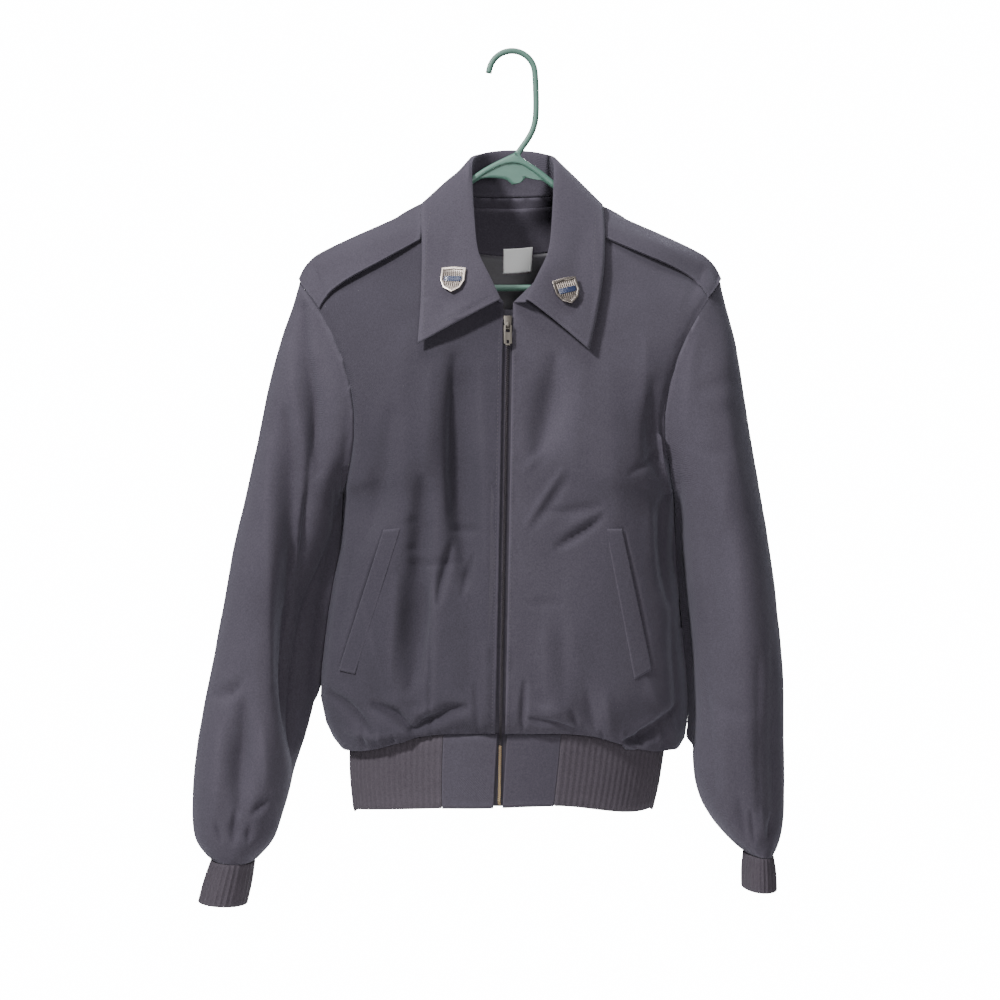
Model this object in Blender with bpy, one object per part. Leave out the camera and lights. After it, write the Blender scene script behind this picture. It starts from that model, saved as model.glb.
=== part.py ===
"""Bomber jacket on a tubular hanger.

Metres, +Z up, the jacket's front faces -Y and the wearer's left is at +X.
The origin is the inside top of the hanger's hook.
"""
from collections import namedtuple
import math

import bmesh
import bpy
import numpy as np
from mathutils import Matrix, Vector

for old in list(bpy.data.objects):
    bpy.data.objects.remove(old, do_unlink=True)

# Driving sizes
CLOTH = 0.0016
KNIT = 0.0020
COLLAR_CLOTH = 0.0018
STRAP_CLOTH = 0.0022
LINING = 0.0010
SEAM = 0.0003
LEFT, RIGHT = 1, -1
FRONT, BACK = -1, 1
SIDE_NAME = {LEFT: "left", RIGHT: "right"}

NECK_X, NECK_Z = 0.068, -0.142
SHOULDER_X, SHOULDER_Z = 0.217, -0.236
UNDERARM_X = {LEFT: 0.170, RIGHT: 0.172}
UNDERARM_Z = -0.4535
ARMHOLE_DEPTH = 0.058
ARMHOLE_SCOOP = 0.034
ARMHOLE_STEPS = 12
ZIP_TOP_Z = -0.262
ZIP_HALF_GAP = 0.0048
HEM_Z = -0.7665

SHOULDER_LINE = (
    # x, height
    (0.068, -0.142),
    (0.0886, -0.1565),
    (0.150, -0.187),
    (0.197, -0.209),
    (0.2075, -0.2185),
    (0.217, -0.236),
)
NECKLINE = (
    # height, distance from the centre front
    (-0.262, 0.0048),
    (-0.250, 0.018),
    (-0.230, 0.036),
    (-0.200, 0.054),
    (-0.170, 0.064),
    (-0.142, 0.068),
)
ZIP_LINE = (
    # height, x
    (-0.142, 0.0),
    (-0.280, -0.0024),
    (-0.775, -0.0113),
)

Depth = namedtuple("Depth", "level front back bow_front bow_back")
DEPTHS = (
    # level, depth to the front and back, fullness of the curve at the front and back
    Depth(-0.142, 0.026, 0.052, 1.40, 1.90),
    Depth(-0.170, 0.042, 0.062, 1.40, 1.90),
    Depth(-0.200, 0.053, 0.068, 1.42, 1.90),
    Depth(-0.260, 0.065, 0.074, 1.55, 1.95),
    Depth(-0.330, 0.080, 0.078, 1.85, 2.00),
    Depth(-0.450, 0.092, 0.084, 2.20, 2.20),
    Depth(-0.600, 0.098, 0.090, 2.20, 2.20),
    Depth(-0.680, 0.098, 0.092, 2.20, 2.20),
    Depth(-0.704, 0.0925, 0.090, 2.20, 2.20),
    Depth(-0.714, 0.0865, 0.0855, 2.20, 2.20),
    Depth(-0.722, 0.0812, 0.0795, 2.20, 2.20),
)

Side = namedtuple("Side", "level height centre left right")
SIDES = (
    # level, real height at the side seam and the centre front, half width at +X and at -X
    Side(-0.4535, -0.4535, -0.4535, 0.1700, 0.1720),
    Side(-0.500, -0.500, -0.500, 0.1700, 0.1740),
    Side(-0.560, -0.560, -0.559, 0.1740, 0.1850),
    Side(-0.620, -0.620, -0.615, 0.1800, 0.1925),
    Side(-0.655, -0.655, -0.646, 0.1830, 0.1955),
    Side(-0.690, -0.690, -0.674, 0.1825, 0.1890),
    Side(-0.704, -0.704, -0.683, 0.1800, 0.1820),
    Side(-0.714, -0.714, -0.6885, 0.1740, 0.1740),
    Side(-0.722, -0.7065, -0.6925, 0.1622, 0.1674),
)
WAIST_MIDDLE_X, WAIST_HALF = -0.0026, 0.1620
BACK_DROP = 0.64
FLAT_MIDDLE = 0.3
SLOPE_STEP = 0.002
WAIST_LEVELS = (-0.484, -0.514, -0.544, -0.574, -0.604, -0.634, -0.662, -0.688, -0.704, -0.714, -0.722)

Fold = namedtuple("Fold", "x0 z0 x1 z1 width rise")
FRONT_FOLDS = {
    RIGHT: (
        # from x, z to x, z, half width, rise (a trough is below zero)
        Fold(-0.044, -0.3165, -0.044, -0.488, 0.010, -0.0065),
        Fold(-0.067, -0.330, -0.066, -0.470, 0.012, 0.0030),
        Fold(-0.149, -0.393, -0.1264, -0.470, 0.010, -0.0045),
        Fold(-0.0887, -0.4455, -0.0917, -0.524, 0.010, -0.0055),
        Fold(-0.1006, -0.523, -0.044, -0.521, 0.009, -0.0040),
        Fold(-0.080, -0.548, -0.084, -0.630, 0.011, 0.0030),
        Fold(-0.0945, -0.524, -0.0965, -0.618, 0.010, -0.0055),
        Fold(-0.0341, -0.518, -0.051, -0.554, 0.009, -0.0040),
        Fold(-0.060, -0.535, -0.056, -0.556, 0.010, -0.0040),
        Fold(-0.0817, -0.600, -0.0817, -0.668, 0.009, -0.0030),
        Fold(-0.178, -0.6885, -0.1363, -0.6588, 0.010, -0.0060),
        Fold(-0.133, -0.6687, -0.0837, -0.6885, 0.009, -0.0050),
        Fold(-0.0807, -0.6628, -0.044, -0.690, 0.009, -0.0050),
        Fold(-0.105, -0.690, -0.118, -0.655, 0.009, 0.0040),
        Fold(-0.020, -0.660, -0.026, -0.692, 0.008, 0.0030),
    ),
    LEFT: (
        Fold(0.0373, -0.3552, 0.0314, -0.4088, 0.010, -0.0050),
        Fold(0.0260, -0.4700, 0.0512, -0.4316, 0.009, -0.0040),
        Fold(0.0300, -0.4700, 0.0869, -0.4614, 0.009, -0.0035),
        Fold(0.0482, -0.503, 0.0869, -0.4842, 0.009, -0.0040),
        Fold(0.055, -0.500, 0.050, -0.640, 0.016, 0.0030),
        Fold(0.1395, -0.388, 0.160, -0.384, 0.009, -0.0040),
        Fold(0.1395, -0.412, 0.160, -0.404, 0.009, -0.0040),
        Fold(0.1494, -0.418, 0.1640, -0.4584, 0.010, -0.0050),
        Fold(0.1534, -0.490, 0.1700, -0.5308, 0.010, -0.0050),
        Fold(0.0260, -0.640, 0.0250, -0.676, 0.008, -0.0030),
        Fold(0.1067, -0.6727, 0.1633, -0.7015, 0.010, -0.0060),
        Fold(0.066, -0.700, 0.080, -0.668, 0.009, -0.0045),
        Fold(0.042, -0.700, 0.050, -0.665, 0.009, 0.0035),
        Fold(0.095, -0.655, 0.120, -0.672, 0.010, 0.0035),
    ),
}
BACK_FOLDS = (
    Fold(-0.150, -0.430, -0.105, -0.520, 0.012, -0.0050),
    Fold(0.148, -0.428, 0.100, -0.505, 0.012, -0.0050),
    Fold(-0.060, -0.330, -0.052, -0.500, 0.014, -0.0045),
    Fold(0.046, -0.300, 0.055, -0.455, 0.014, -0.0045),
    Fold(-0.005, -0.420, 0.004, -0.590, 0.016, 0.0040),
    Fold(-0.085, -0.560, -0.030, -0.575, 0.012, -0.0040),
    Fold(0.035, -0.530, 0.098, -0.548, 0.012, -0.0045),
    Fold(0.084, -0.580, 0.078, -0.660, 0.012, 0.0035),
    Fold(-0.165, -0.690, -0.128, -0.655, 0.011, -0.0060),
    Fold(-0.108, -0.700, -0.100, -0.645, 0.010, -0.0050),
    Fold(-0.072, -0.700, -0.066, -0.660, 0.010, 0.0040),
    Fold(-0.040, -0.700, -0.034, -0.648, 0.010, -0.0050),
    Fold(0.006, -0.700, 0.000, -0.660, 0.010, 0.0035),
    Fold(0.044, -0.700, 0.040, -0.650, 0.010, -0.0050),
    Fold(0.090, -0.700, 0.094, -0.662, 0.010, -0.0045),
    Fold(0.162, -0.695, 0.125, -0.662, 0.011, -0.0060),
)
SLEEVE_FOLDS = {
    (RIGHT, FRONT): (
        Fold(-0.210, -0.290, -0.190, -0.400, 0.011, -0.0045),
        Fold(-0.229, -0.376, -0.222, -0.542, 0.013, -0.0060),
        Fold(-0.222, -0.542, -0.214, -0.640, 0.012, -0.0055),
        Fold(-0.255, -0.440, -0.270, -0.560, 0.014, 0.0030),
        Fold(-0.300, -0.640, -0.266, -0.654, 0.010, -0.0060),
        Fold(-0.272, -0.668, -0.268, -0.785, 0.011, -0.0055),
        Fold(-0.305, -0.700, -0.300, -0.780, 0.012, 0.0030),
        Fold(-0.290, -0.792, -0.286, -0.815, 0.008, -0.0035),
    ),
    (RIGHT, BACK): (
        Fold(-0.195, -0.330, -0.212, -0.420, 0.014, -0.0050),
        Fold(-0.240, -0.400, -0.262, -0.560, 0.014, -0.0050),
        Fold(-0.225, -0.640, -0.300, -0.628, 0.012, -0.0050),
        Fold(-0.250, -0.690, -0.262, -0.780, 0.012, -0.0050),
        Fold(-0.290, -0.700, -0.292, -0.790, 0.012, 0.0035),
    ),
    (LEFT, FRONT): (
        Fold(0.180, -0.352, 0.228, -0.362, 0.011, -0.0035),
        Fold(0.188, -0.398, 0.236, -0.408, 0.011, -0.0035),
        Fold(0.200, -0.470, 0.216, -0.600, 0.014, -0.0045),
        Fold(0.240, -0.500, 0.246, -0.640, 0.014, 0.0030),
        Fold(0.200, -0.655, 0.255, -0.668, 0.011, -0.0045),
        Fold(0.262, -0.700, 0.264, -0.790, 0.010, -0.0045),
        Fold(0.222, -0.700, 0.232, -0.780, 0.011, -0.0040),
        Fold(0.250, -0.795, 0.254, -0.812, 0.008, -0.0035),
    ),
    (LEFT, BACK): (
        Fold(0.192, -0.335, 0.208, -0.430, 0.014, -0.0050),
        Fold(0.225, -0.430, 0.245, -0.570, 0.014, -0.0050),
        Fold(0.205, -0.632, 0.265, -0.645, 0.012, -0.0050),
        Fold(0.225, -0.700, 0.235, -0.785, 0.012, -0.0045),
    ),
}


# Numbers read smoothly from the tables
def curve(places, values):
    """A smooth function through the given values that adds no overshoot."""
    places = np.array(places, float)
    values = np.array(values, float)
    if places[0] > places[-1]:
        places, values = places[::-1], values[::-1]
    spans = np.diff(places)
    slopes = np.diff(values) / spans
    tangents = np.concatenate(([slopes[0]], np.zeros(len(slopes) - 1), [slopes[-1]]))
    for k in range(1, len(slopes)):
        if slopes[k - 1] * slopes[k] > 0:
            tangents[k] = 2 * slopes[k - 1] * slopes[k] / (slopes[k - 1] + slopes[k])

    def read(place):
        place = min(max(place, places[0]), places[-1])
        k = min(max(int(np.searchsorted(places, place)) - 1, 0), len(spans) - 1)
        t = (place - places[k]) / spans[k]
        start = (1 + 2 * t) * (1 - t) ** 2 * values[k] + t * (1 - t) ** 2 * spans[k] * tangents[k]
        end = t * t * (3 - 2 * t) * values[k + 1] + t * t * (t - 1) * spans[k] * tangents[k + 1]
        return start + end

    return read


def column(table, key, value):
    """A smooth function that reads one named column of a table against another."""
    return curve([getattr(row, key) for row in table], [getattr(row, value) for row in table])


def ease(t):
    """Rise smoothly from 0 to 1."""
    t = min(max(t, 0.0), 1.0)
    return t * t * (3 - 2 * t)


shoulder_z = curve(*zip(*SHOULDER_LINE))
shoulder_x = curve([row[1] for row in SHOULDER_LINE], [row[0] for row in SHOULDER_LINE])
neck_x = curve(*zip(*NECKLINE))
centre_x = curve(*zip(*ZIP_LINE))
depth_at = {FRONT: column(DEPTHS, "level", "front"), BACK: column(DEPTHS, "level", "back")}
bow_at = {FRONT: column(DEPTHS, "level", "bow_front"), BACK: column(DEPTHS, "level", "bow_back")}
side_at = {LEFT: column(SIDES, "level", "left"), RIGHT: column(SIDES, "level", "right")}
side_height = column(SIDES, "level", "height")
centre_height = column(SIDES, "level", "centre")


# The surface of the jacket's body
def armhole(side, angle):
    """A point of the armhole seam: 0 is the shoulder, pi the underarm, the front between."""
    share = (1 - math.cos(angle)) / 2
    reach = SHOULDER_X + (UNDERARM_X[side] - SHOULDER_X) * share - ARMHOLE_SCOOP * math.sin(angle) ** 2
    return Vector((side * reach, -ARMHOLE_DEPTH * math.sin(angle),
                   SHOULDER_Z + (UNDERARM_Z - SHOULDER_Z) * share))


def armhole_normal(side, angle):
    """The outward direction that both walls share at the armhole seam."""
    top = Vector((0.6 * side, 0, 0.8)) * max(math.cos(angle), 0)
    bottom = Vector((0, 0, -1)) * max(-math.cos(angle), 0)
    return (top + bottom + Vector((0, -math.sin(angle), 0))).normalized()


def panel_end(side, face, level):
    """Where a level line of a panel ends: on the shoulder, the armhole or the side seam."""
    if level >= SHOULDER_Z:
        return side * shoulder_x(level), 0.0
    if level >= UNDERARM_Z:
        share = (level - SHOULDER_Z) / (UNDERARM_Z - SHOULDER_Z)
        place = armhole(side, math.acos(1 - 2 * share))
        return place.x, face * abs(place.y)
    return side * side_at[side](level), 0.0


def level_height(face, x, level):
    """Real height of a level line at x: it is lifted at the centre, most at the front."""
    if level >= UNDERARM_Z:
        return level
    side_way = ease((abs(x - WAIST_MIDDLE_X) / WAIST_HALF - FLAT_MIDDLE) / (1 - FLAT_MIDDLE))
    lift = (centre_height(level) - side_height(level)) * (1 - side_way)
    return side_height(level) + lift * (1 if face == FRONT else 1 - BACK_DROP)


def seam_height(face, x):
    """Height of the waist seam."""
    return level_height(face, x, WAIST_LEVELS[-1])


def body_point(side, face, x, level):
    """A point of the smooth body surface at x on a level line."""
    end_x, end_y = panel_end(side, face, level)
    share = min(max((x - WAIST_MIDDLE_X) / (end_x - WAIST_MIDDLE_X), 0.0), 1.0)
    bow = bow_at[face](level)
    fullness = (1 - share ** bow) ** (1 / bow)
    y = end_y + (face * depth_at[face](level) - end_y) * fullness
    return Vector((x, y, level_height(face, x, level)))


def body_normal(side, face, x, level):
    """The outward direction of the smooth body surface."""
    inner = abs(x) - SLOPE_STEP
    across = body_point(side, face, x, level) - body_point(side, face, side * inner, level)
    down = body_point(side, face, x, level - SLOPE_STEP) - body_point(side, face, x, level)
    normal = across.cross(down).normalized()
    return normal if normal.y * face > 0 else -normal


def fold_rise(folds, place):
    """Height of all folds at a place, each a soft line that fades beside and past its ends."""
    total = 0.0
    for fold in folds:
        run = np.array((fold.x1 - fold.x0, fold.z1 - fold.z0))
        away = np.array((place.x - fold.x0, place.z - fold.z0))
        along = min(max(float(away @ run) / float(run @ run), 0.0), 1.0)
        gap = np.linalg.norm(away - run * along) / fold.width
        total += fold.rise * math.exp(-gap * gap)
    return total


# Walls built from a grid of outer points
def grid_normals(grid, around=False):
    """Unit normals of a grid of points, taken from the neighbours of each point."""
    if around:
        across = np.roll(grid, -1, 1) - np.roll(grid, 1, 1)
    else:
        across = np.gradient(grid, axis=1)
    down = np.gradient(grid, axis=0)
    normals = np.cross(across, down)
    return normals / np.maximum(np.linalg.norm(normals, axis=2, keepdims=True), 1e-12)


def face_out(normals, outward):
    """Turn all normals of a grid so that they agree with the outward directions."""
    return normals if (normals * outward).sum() > 0 else -normals


def material(name, colour, roughness, metallic=0.0):
    """A plain Principled BSDF."""
    made = bpy.data.materials.new(name)
    made.use_nodes = True
    shader = made.node_tree.nodes["Principled BSDF"]
    shader.inputs["Base Color"].default_value = (*colour, 1.0)
    shader.inputs["Roughness"].default_value = roughness
    shader.inputs["Metallic"].default_value = metallic
    return made


def add_object(name, shape, finish):
    """Put a bmesh in the scene as one object."""
    bmesh.ops.recalc_face_normals(shape, faces=shape.faces)
    mesh = bpy.data.meshes.new(name)
    shape.to_mesh(mesh)
    shape.free()
    mesh.materials.append(finish)
    mesh.shade_smooth()
    mesh.set_sharp_from_angle(angle=math.radians(50))
    made = bpy.data.objects.new(name, mesh)
    bpy.context.collection.objects.link(made)
    return made


def wall(name, outer, inner, finish, around=False):
    """A closed wall between two grids of points, both split along the same diagonals."""
    shape = bmesh.new()
    rows, cols = outer.shape[:2]
    skins = [[[shape.verts.new(grid[i, j]) for j in range(cols)] for i in range(rows)] for grid in (outer, inner)]
    last = cols if around else cols - 1
    for skin in skins:
        for i in range(rows - 1):
            for j in range(last):
                k = (j + 1) % cols
                shape.faces.new((skin[i][j], skin[i][k], skin[i + 1][k]))
                shape.faces.new((skin[i][j], skin[i + 1][k], skin[i + 1][j]))
    rims = [[(i, j) for j in range(cols)] for i in (0, rows - 1)]
    if not around:
        rims += [[(i, j) for i in range(rows)] for j in (0, cols - 1)]
    for rim in rims:
        closed = around
        for a in range(len(rim) if closed else len(rim) - 1):
            (i, j), (m, n) = rim[a], rim[(a + 1) % len(rim)]
            shape.faces.new((skins[0][i][j], skins[0][m][n], skins[1][m][n]))
            shape.faces.new((skins[0][i][j], skins[1][m][n], skins[1][i][j]))
    return add_object(name, shape, finish)


TWILL = material("twill", (0.075, 0.068, 0.092), 0.85)
RIB = material("rib_knit", (0.068, 0.061, 0.078), 0.9)
SATIN = material("lining", (0.062, 0.055, 0.070), 0.55)
WHITE = material("white_label", (0.80, 0.78, 0.74), 0.8)
BRASS = material("brass", (0.42, 0.33, 0.19), 0.35, 1.0)
TAPE = material("zip_tape", (0.050, 0.046, 0.060), 0.9)
PIN = material("pin_metal", (0.55, 0.50, 0.44), 0.35, 1.0)
GREEN = material("green_plastic", (0.19, 0.31, 0.26), 0.4)

# Front panels, their columns closer together towards the side
FRONT_COLUMNS = 16
EVEN_SHARE = 0.36
FRONT_SHARES = [EVEN_SHARE * (j / FRONT_COLUMNS) + (1 - EVEN_SHARE) * math.sin(math.pi / 2 * j / FRONT_COLUMNS)
                for j in range(FRONT_COLUMNS + 1)]
ZIP_FADE, SIDE_FADE = 0.17, 0.08
TOP_FADE_ROWS, FOOT_FADE_ROWS = 2.0, 1.5
NECK_ROWS = 5
LAST_ROW = ARMHOLE_STEPS + len(WAIST_LEVELS)


def blend(start, end, share):
    return start + (end - start) * share


def outer_end(side, row):
    """Distance from the centre and level of a row's outer end."""
    if row <= ARMHOLE_STEPS:
        place = armhole(side, math.pi * row / ARMHOLE_STEPS)
        return abs(place.x), place.z
    level = WAIST_LEVELS[row - ARMHOLE_STEPS - 1]
    return side_at[side](level), level


def front_edge(row):
    """Level of a row's inner end, down the neckline and then the zip edge."""
    if row <= NECK_ROWS:
        return blend(NECK_Z, ZIP_TOP_Z, row / NECK_ROWS)
    if row <= ARMHOLE_STEPS:
        return blend(ZIP_TOP_Z, UNDERARM_Z, (row - NECK_ROWS) / (ARMHOLE_STEPS - NECK_ROWS))
    return WAIST_LEVELS[row - ARMHOLE_STEPS - 1]


def edge_mask(share, row, fade):
    """1 inside a panel, falling to 0 towards the seam where the share is 0 and at its top and foot."""
    return ease(share / fade) * ease(row / TOP_FADE_ROWS) * ease((LAST_ROW - row) / FOOT_FADE_ROWS)


def seam_normal(side, face, row):
    """The outward direction at a panel's outer edge."""
    if row > ARMHOLE_STEPS:
        return Vector((side, 0, 0))
    angle = math.pi * row / ARMHOLE_STEPS
    return armhole_normal(side, angle if face == FRONT else -angle)


def shoulder_normal(x):
    """Straight out of the shoulder seam."""
    half = SLOPE_STEP / 2
    slope = (shoulder_z(abs(x) + half) - shoulder_z(abs(x) - half)) / SLOPE_STEP
    return Vector((-slope * math.copysign(1, x), 0, 1)).normalized()


def front_grid(side):
    """Outer points of a front panel before its folds."""
    points = np.zeros((LAST_ROW + 1, FRONT_COLUMNS + 1, 3))
    for row in range(LAST_ROW + 1):
        reach, end_level = outer_end(side, row)
        start_level = front_edge(row)
        start_x = neck_x(start_level) if row <= NECK_ROWS else ZIP_HALF_GAP
        for j, share in enumerate(FRONT_SHARES):
            start = centre_x(start_level) + side * start_x
            x = blend(start, side * reach, share)
            straight = blend(NECK_Z, SHOULDER_Z, share)
            rise = shoulder_z(blend(NECK_X, SHOULDER_X, share)) - straight
            fade = max(1 - row / ARMHOLE_STEPS, 0)
            level = blend(start_level, end_level, share) + rise * fade
            points[row, j] = body_point(side, FRONT, x, level)
            if row == 0:
                points[row, j, 1] = 0
    return points


def with_folds(base, normals, masks, folds):
    """Move each point out or in by the folds at its place."""
    folded = base.copy()
    for i, j in np.ndindex(base.shape[:2]):
        folded[i, j] += normals[i, j] * fold_rise(folds, Vector(base[i, j])) * masks[i, j]
    return folded


def front_panel(side):
    base = front_grid(side)
    outward = np.array((0, FRONT, 0))
    masks = np.array([[edge_mask(share, row, ZIP_FADE) * ease((1 - share) / SIDE_FADE) for share in FRONT_SHARES]
                      for row in range(LAST_ROW + 1)])
    outer = with_folds(base, face_out(grid_normals(base), outward), masks, FRONT_FOLDS[side])
    normals = face_out(grid_normals(outer), outward)
    for row in range(LAST_ROW + 1):
        normals[row, -1] = seam_normal(side, FRONT, row)
        if row > NECK_ROWS:
            normals[row, 0, 0] = 0
    for j in range(FRONT_COLUMNS + 1):
        normals[0, j] = shoulder_normal(outer[0, j, 0])
        normals[-1, j, 2] = 0
    normals[0, -1] = seam_normal(side, FRONT, 0)
    normals /= np.linalg.norm(normals, axis=2, keepdims=True)
    outer[0, :, 1] -= SEAM / 2
    outer[ARMHOLE_STEPS:, -1, 1] -= SEAM / 2
    inner = outer - normals * CLOTH
    wall("front_" + SIDE_NAME[side], outer, inner, TWILL)
    return outer, normals


# Back panel
BACK_SHARES = (0, 0.08, 0.16, 0.24, NECK_X / SHOULDER_X, 0.42, 0.53, 0.64, 0.74, 0.83, 0.91, 0.97, 1)
BACK_MIDDLE = len(BACK_SHARES) - 1
NECK_COLUMNS = BACK_SHARES.index(NECK_X / SHOULDER_X)


def back_start(row):
    """Level of a row at the centre back."""
    if row <= ARMHOLE_STEPS:
        return blend(NECK_Z, UNDERARM_Z, row / ARMHOLE_STEPS)
    return WAIST_LEVELS[row - ARMHOLE_STEPS - 1]


def back_grid():
    """Outer points of the back, its columns running from -X to +X."""
    points = np.zeros((LAST_ROW + 1, 2 * BACK_MIDDLE + 1, 3))
    for row in range(LAST_ROW + 1):
        for j in range(-BACK_MIDDLE, BACK_MIDDLE + 1):
            side = RIGHT if j < 0 else LEFT
            share = BACK_SHARES[abs(j)]
            reach, end_level = outer_end(side, row)
            middle = centre_x(back_start(row)) * (1 - share)
            x = middle + side * reach * share
            top = NECK_Z if abs(j) <= NECK_COLUMNS else shoulder_z(share * SHOULDER_X)
            rise = top - blend(NECK_Z, SHOULDER_Z, share)
            fade = max(1 - row / ARMHOLE_STEPS, 0)
            level = blend(back_start(row), end_level, share) + rise * fade
            place = body_point(side, BACK, x, level)
            if row == 0 and abs(j) >= NECK_COLUMNS:
                place.y = 0
            points[row, j + BACK_MIDDLE] = place
    return points


def back_panel():
    base = back_grid()
    outward = np.array((0, BACK, 0))
    shares = [BACK_SHARES[abs(j)] for j in range(-BACK_MIDDLE, BACK_MIDDLE + 1)]
    masks = np.array([[edge_mask(1 - share, row, SIDE_FADE) for share in shares] for row in range(LAST_ROW + 1)])
    outer = with_folds(base, face_out(grid_normals(base), outward), masks, BACK_FOLDS)
    normals = face_out(grid_normals(outer), outward)
    for row in range(LAST_ROW + 1):
        normals[row, 0] = seam_normal(RIGHT, BACK, row)
        normals[row, -1] = seam_normal(LEFT, BACK, row)
    for j in range(-BACK_MIDDLE, BACK_MIDDLE + 1):
        if NECK_COLUMNS <= abs(j) < BACK_MIDDLE:
            normals[0, j + BACK_MIDDLE] = shoulder_normal(outer[0, j + BACK_MIDDLE, 0])
            outer[0, j + BACK_MIDDLE, 1] += SEAM / 2
        normals[-1, j + BACK_MIDDLE, 2] = 0
    for j in (0, -1):
        outer[0, j, 1] += SEAM / 2
        outer[ARMHOLE_STEPS:, j, 1] += SEAM / 2
    normals /= np.linalg.norm(normals, axis=2, keepdims=True)
    wall("back", outer, outer - normals * CLOTH, TWILL)
    return outer, normals


# Sleeves and cuffs
SleeveRing = namedtuple("SleeveRing", "out_x out_z in_x in_z middle_y depth")
SLEEVE_RINGS = {
    RIGHT: (
        # outer point, inner point, y of the middle, half depth
        SleeveRing(0.2256, -0.2634, 0.1738, -0.4600, 0.000, 0.0640),
        SleeveRing(0.2380, -0.2950, 0.1742, -0.4700, 0.001, 0.0670),
        SleeveRing(0.2500, -0.3450, 0.1750, -0.4870, 0.003, 0.0690),
        SleeveRing(0.2606, -0.3976, 0.1774, -0.5100, 0.005, 0.0700),
        SleeveRing(0.2730, -0.4600, 0.1830, -0.5400, 0.006, 0.0690),
        SleeveRing(0.2864, -0.5212, 0.1894, -0.5800, 0.006, 0.0670),
        SleeveRing(0.3005, -0.5920, 0.1952, -0.6300, 0.004, 0.0630),
        SleeveRing(0.3111, -0.6448, 0.1992, -0.6680, 0.000, 0.0600),
        SleeveRing(0.3200, -0.6980, 0.2110, -0.7120, -0.005, 0.0570),
        SleeveRing(0.3255, -0.7480, 0.2245, -0.7550, -0.010, 0.0540),
        SleeveRing(0.3265, -0.7890, 0.2345, -0.7880, -0.014, 0.0500),
        SleeveRing(0.3225, -0.8070, 0.2405, -0.8070, -0.016, 0.0470),
        SleeveRing(0.3130, -0.8190, 0.2530, -0.8205, -0.016, 0.0415),
    ),
    LEFT: (
        SleeveRing(0.2245, -0.2634, 0.1718, -0.4600, 0.000, 0.0640),
        SleeveRing(0.2325, -0.2950, 0.1718, -0.4720, -0.003, 0.0680),
        SleeveRing(0.2400, -0.3450, 0.1716, -0.4900, -0.006, 0.0700),
        SleeveRing(0.2472, -0.3976, 0.1720, -0.5120, -0.009, 0.0720),
        SleeveRing(0.2580, -0.4600, 0.1738, -0.5400, -0.012, 0.0720),
        SleeveRing(0.2680, -0.5212, 0.1774, -0.5800, -0.014, 0.0710),
        SleeveRing(0.2755, -0.5920, 0.1822, -0.6300, -0.016, 0.0690),
        SleeveRing(0.2800, -0.6448, 0.1844, -0.6680, -0.018, 0.0670),
        SleeveRing(0.2805, -0.6980, 0.1846, -0.7050, -0.018, 0.0650),
        SleeveRing(0.2805, -0.7400, 0.1862, -0.7350, -0.018, 0.0620),
        SleeveRing(0.2805, -0.7700, 0.1915, -0.7590, -0.018, 0.0580),
        SleeveRing(0.2800, -0.7920, 0.2020, -0.7810, -0.018, 0.0540),
        SleeveRing(0.2745, -0.8100, 0.2230, -0.8060, -0.018, 0.0480),
    ),
}
SLEEVE_STEPS = 2 * ARMHOLE_STEPS
SCOOP_FADE = (0.65, 0.35, 0.12)
SLEEVE_HEAD_GAP = SEAM + 0.0001
UNDERARM_COSINE, UNDERARM_FADE = -0.9, 0.5
EDGE_SINE = 0.3
SLEEVE_END_ROWS = 1.5

CuffEnd = namedtuple("CuffEnd", "out_x out_z in_x in_z middle_y depth")
CUFFS = {
    RIGHT: (CuffEnd(0.3049, -0.8261, 0.2616, -0.8287, -0.016, 0.036),
            CuffEnd(0.3183, -0.8690, 0.2696, -0.8720, -0.016, 0.034)),
    LEFT: (CuffEnd(0.2680, -0.8215, 0.2395, -0.8180, -0.018, 0.043),
           CuffEnd(0.2715, -0.8560, 0.2375, -0.8545, -0.018, 0.041)),
}
CUFF_RIBS = 28
RIB_RISE = 0.0012
CUFF_SWELL = 0.0012


def ring_point(ring, side, angle):
    """A point of a sleeve or cuff ring: 0 is the outer point, pi the inner, the front between."""
    middle = Vector(((ring.out_x + ring.in_x) / 2, ring.middle_y, (ring.out_z + ring.in_z) / 2))
    arm = Vector(((ring.out_x - ring.in_x) / 2, 0, (ring.out_z - ring.in_z) / 2))
    place = middle + arm * math.cos(angle) + Vector((0, -ring.depth * math.sin(angle), 0))
    return Vector((side * place.x, place.y, place.z))


def armhole_axis(side, angle):
    """Away from the body, across the armhole seam."""
    along = armhole(side, angle + 0.01) - armhole(side, angle - 0.01)
    axis = along.cross(armhole_normal(side, angle)).normalized()
    return axis if axis.x * side > 0 else -axis


def cuff_up(side):
    """Along the cuff's axis towards the sleeve."""
    top = CUFFS[side][0]
    across = Vector((side * (top.out_x - top.in_x), 0, top.out_z - top.in_z)).normalized()
    up = across.cross(Vector((0, 1, 0)))
    return up if up.z > 0 else -up


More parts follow.
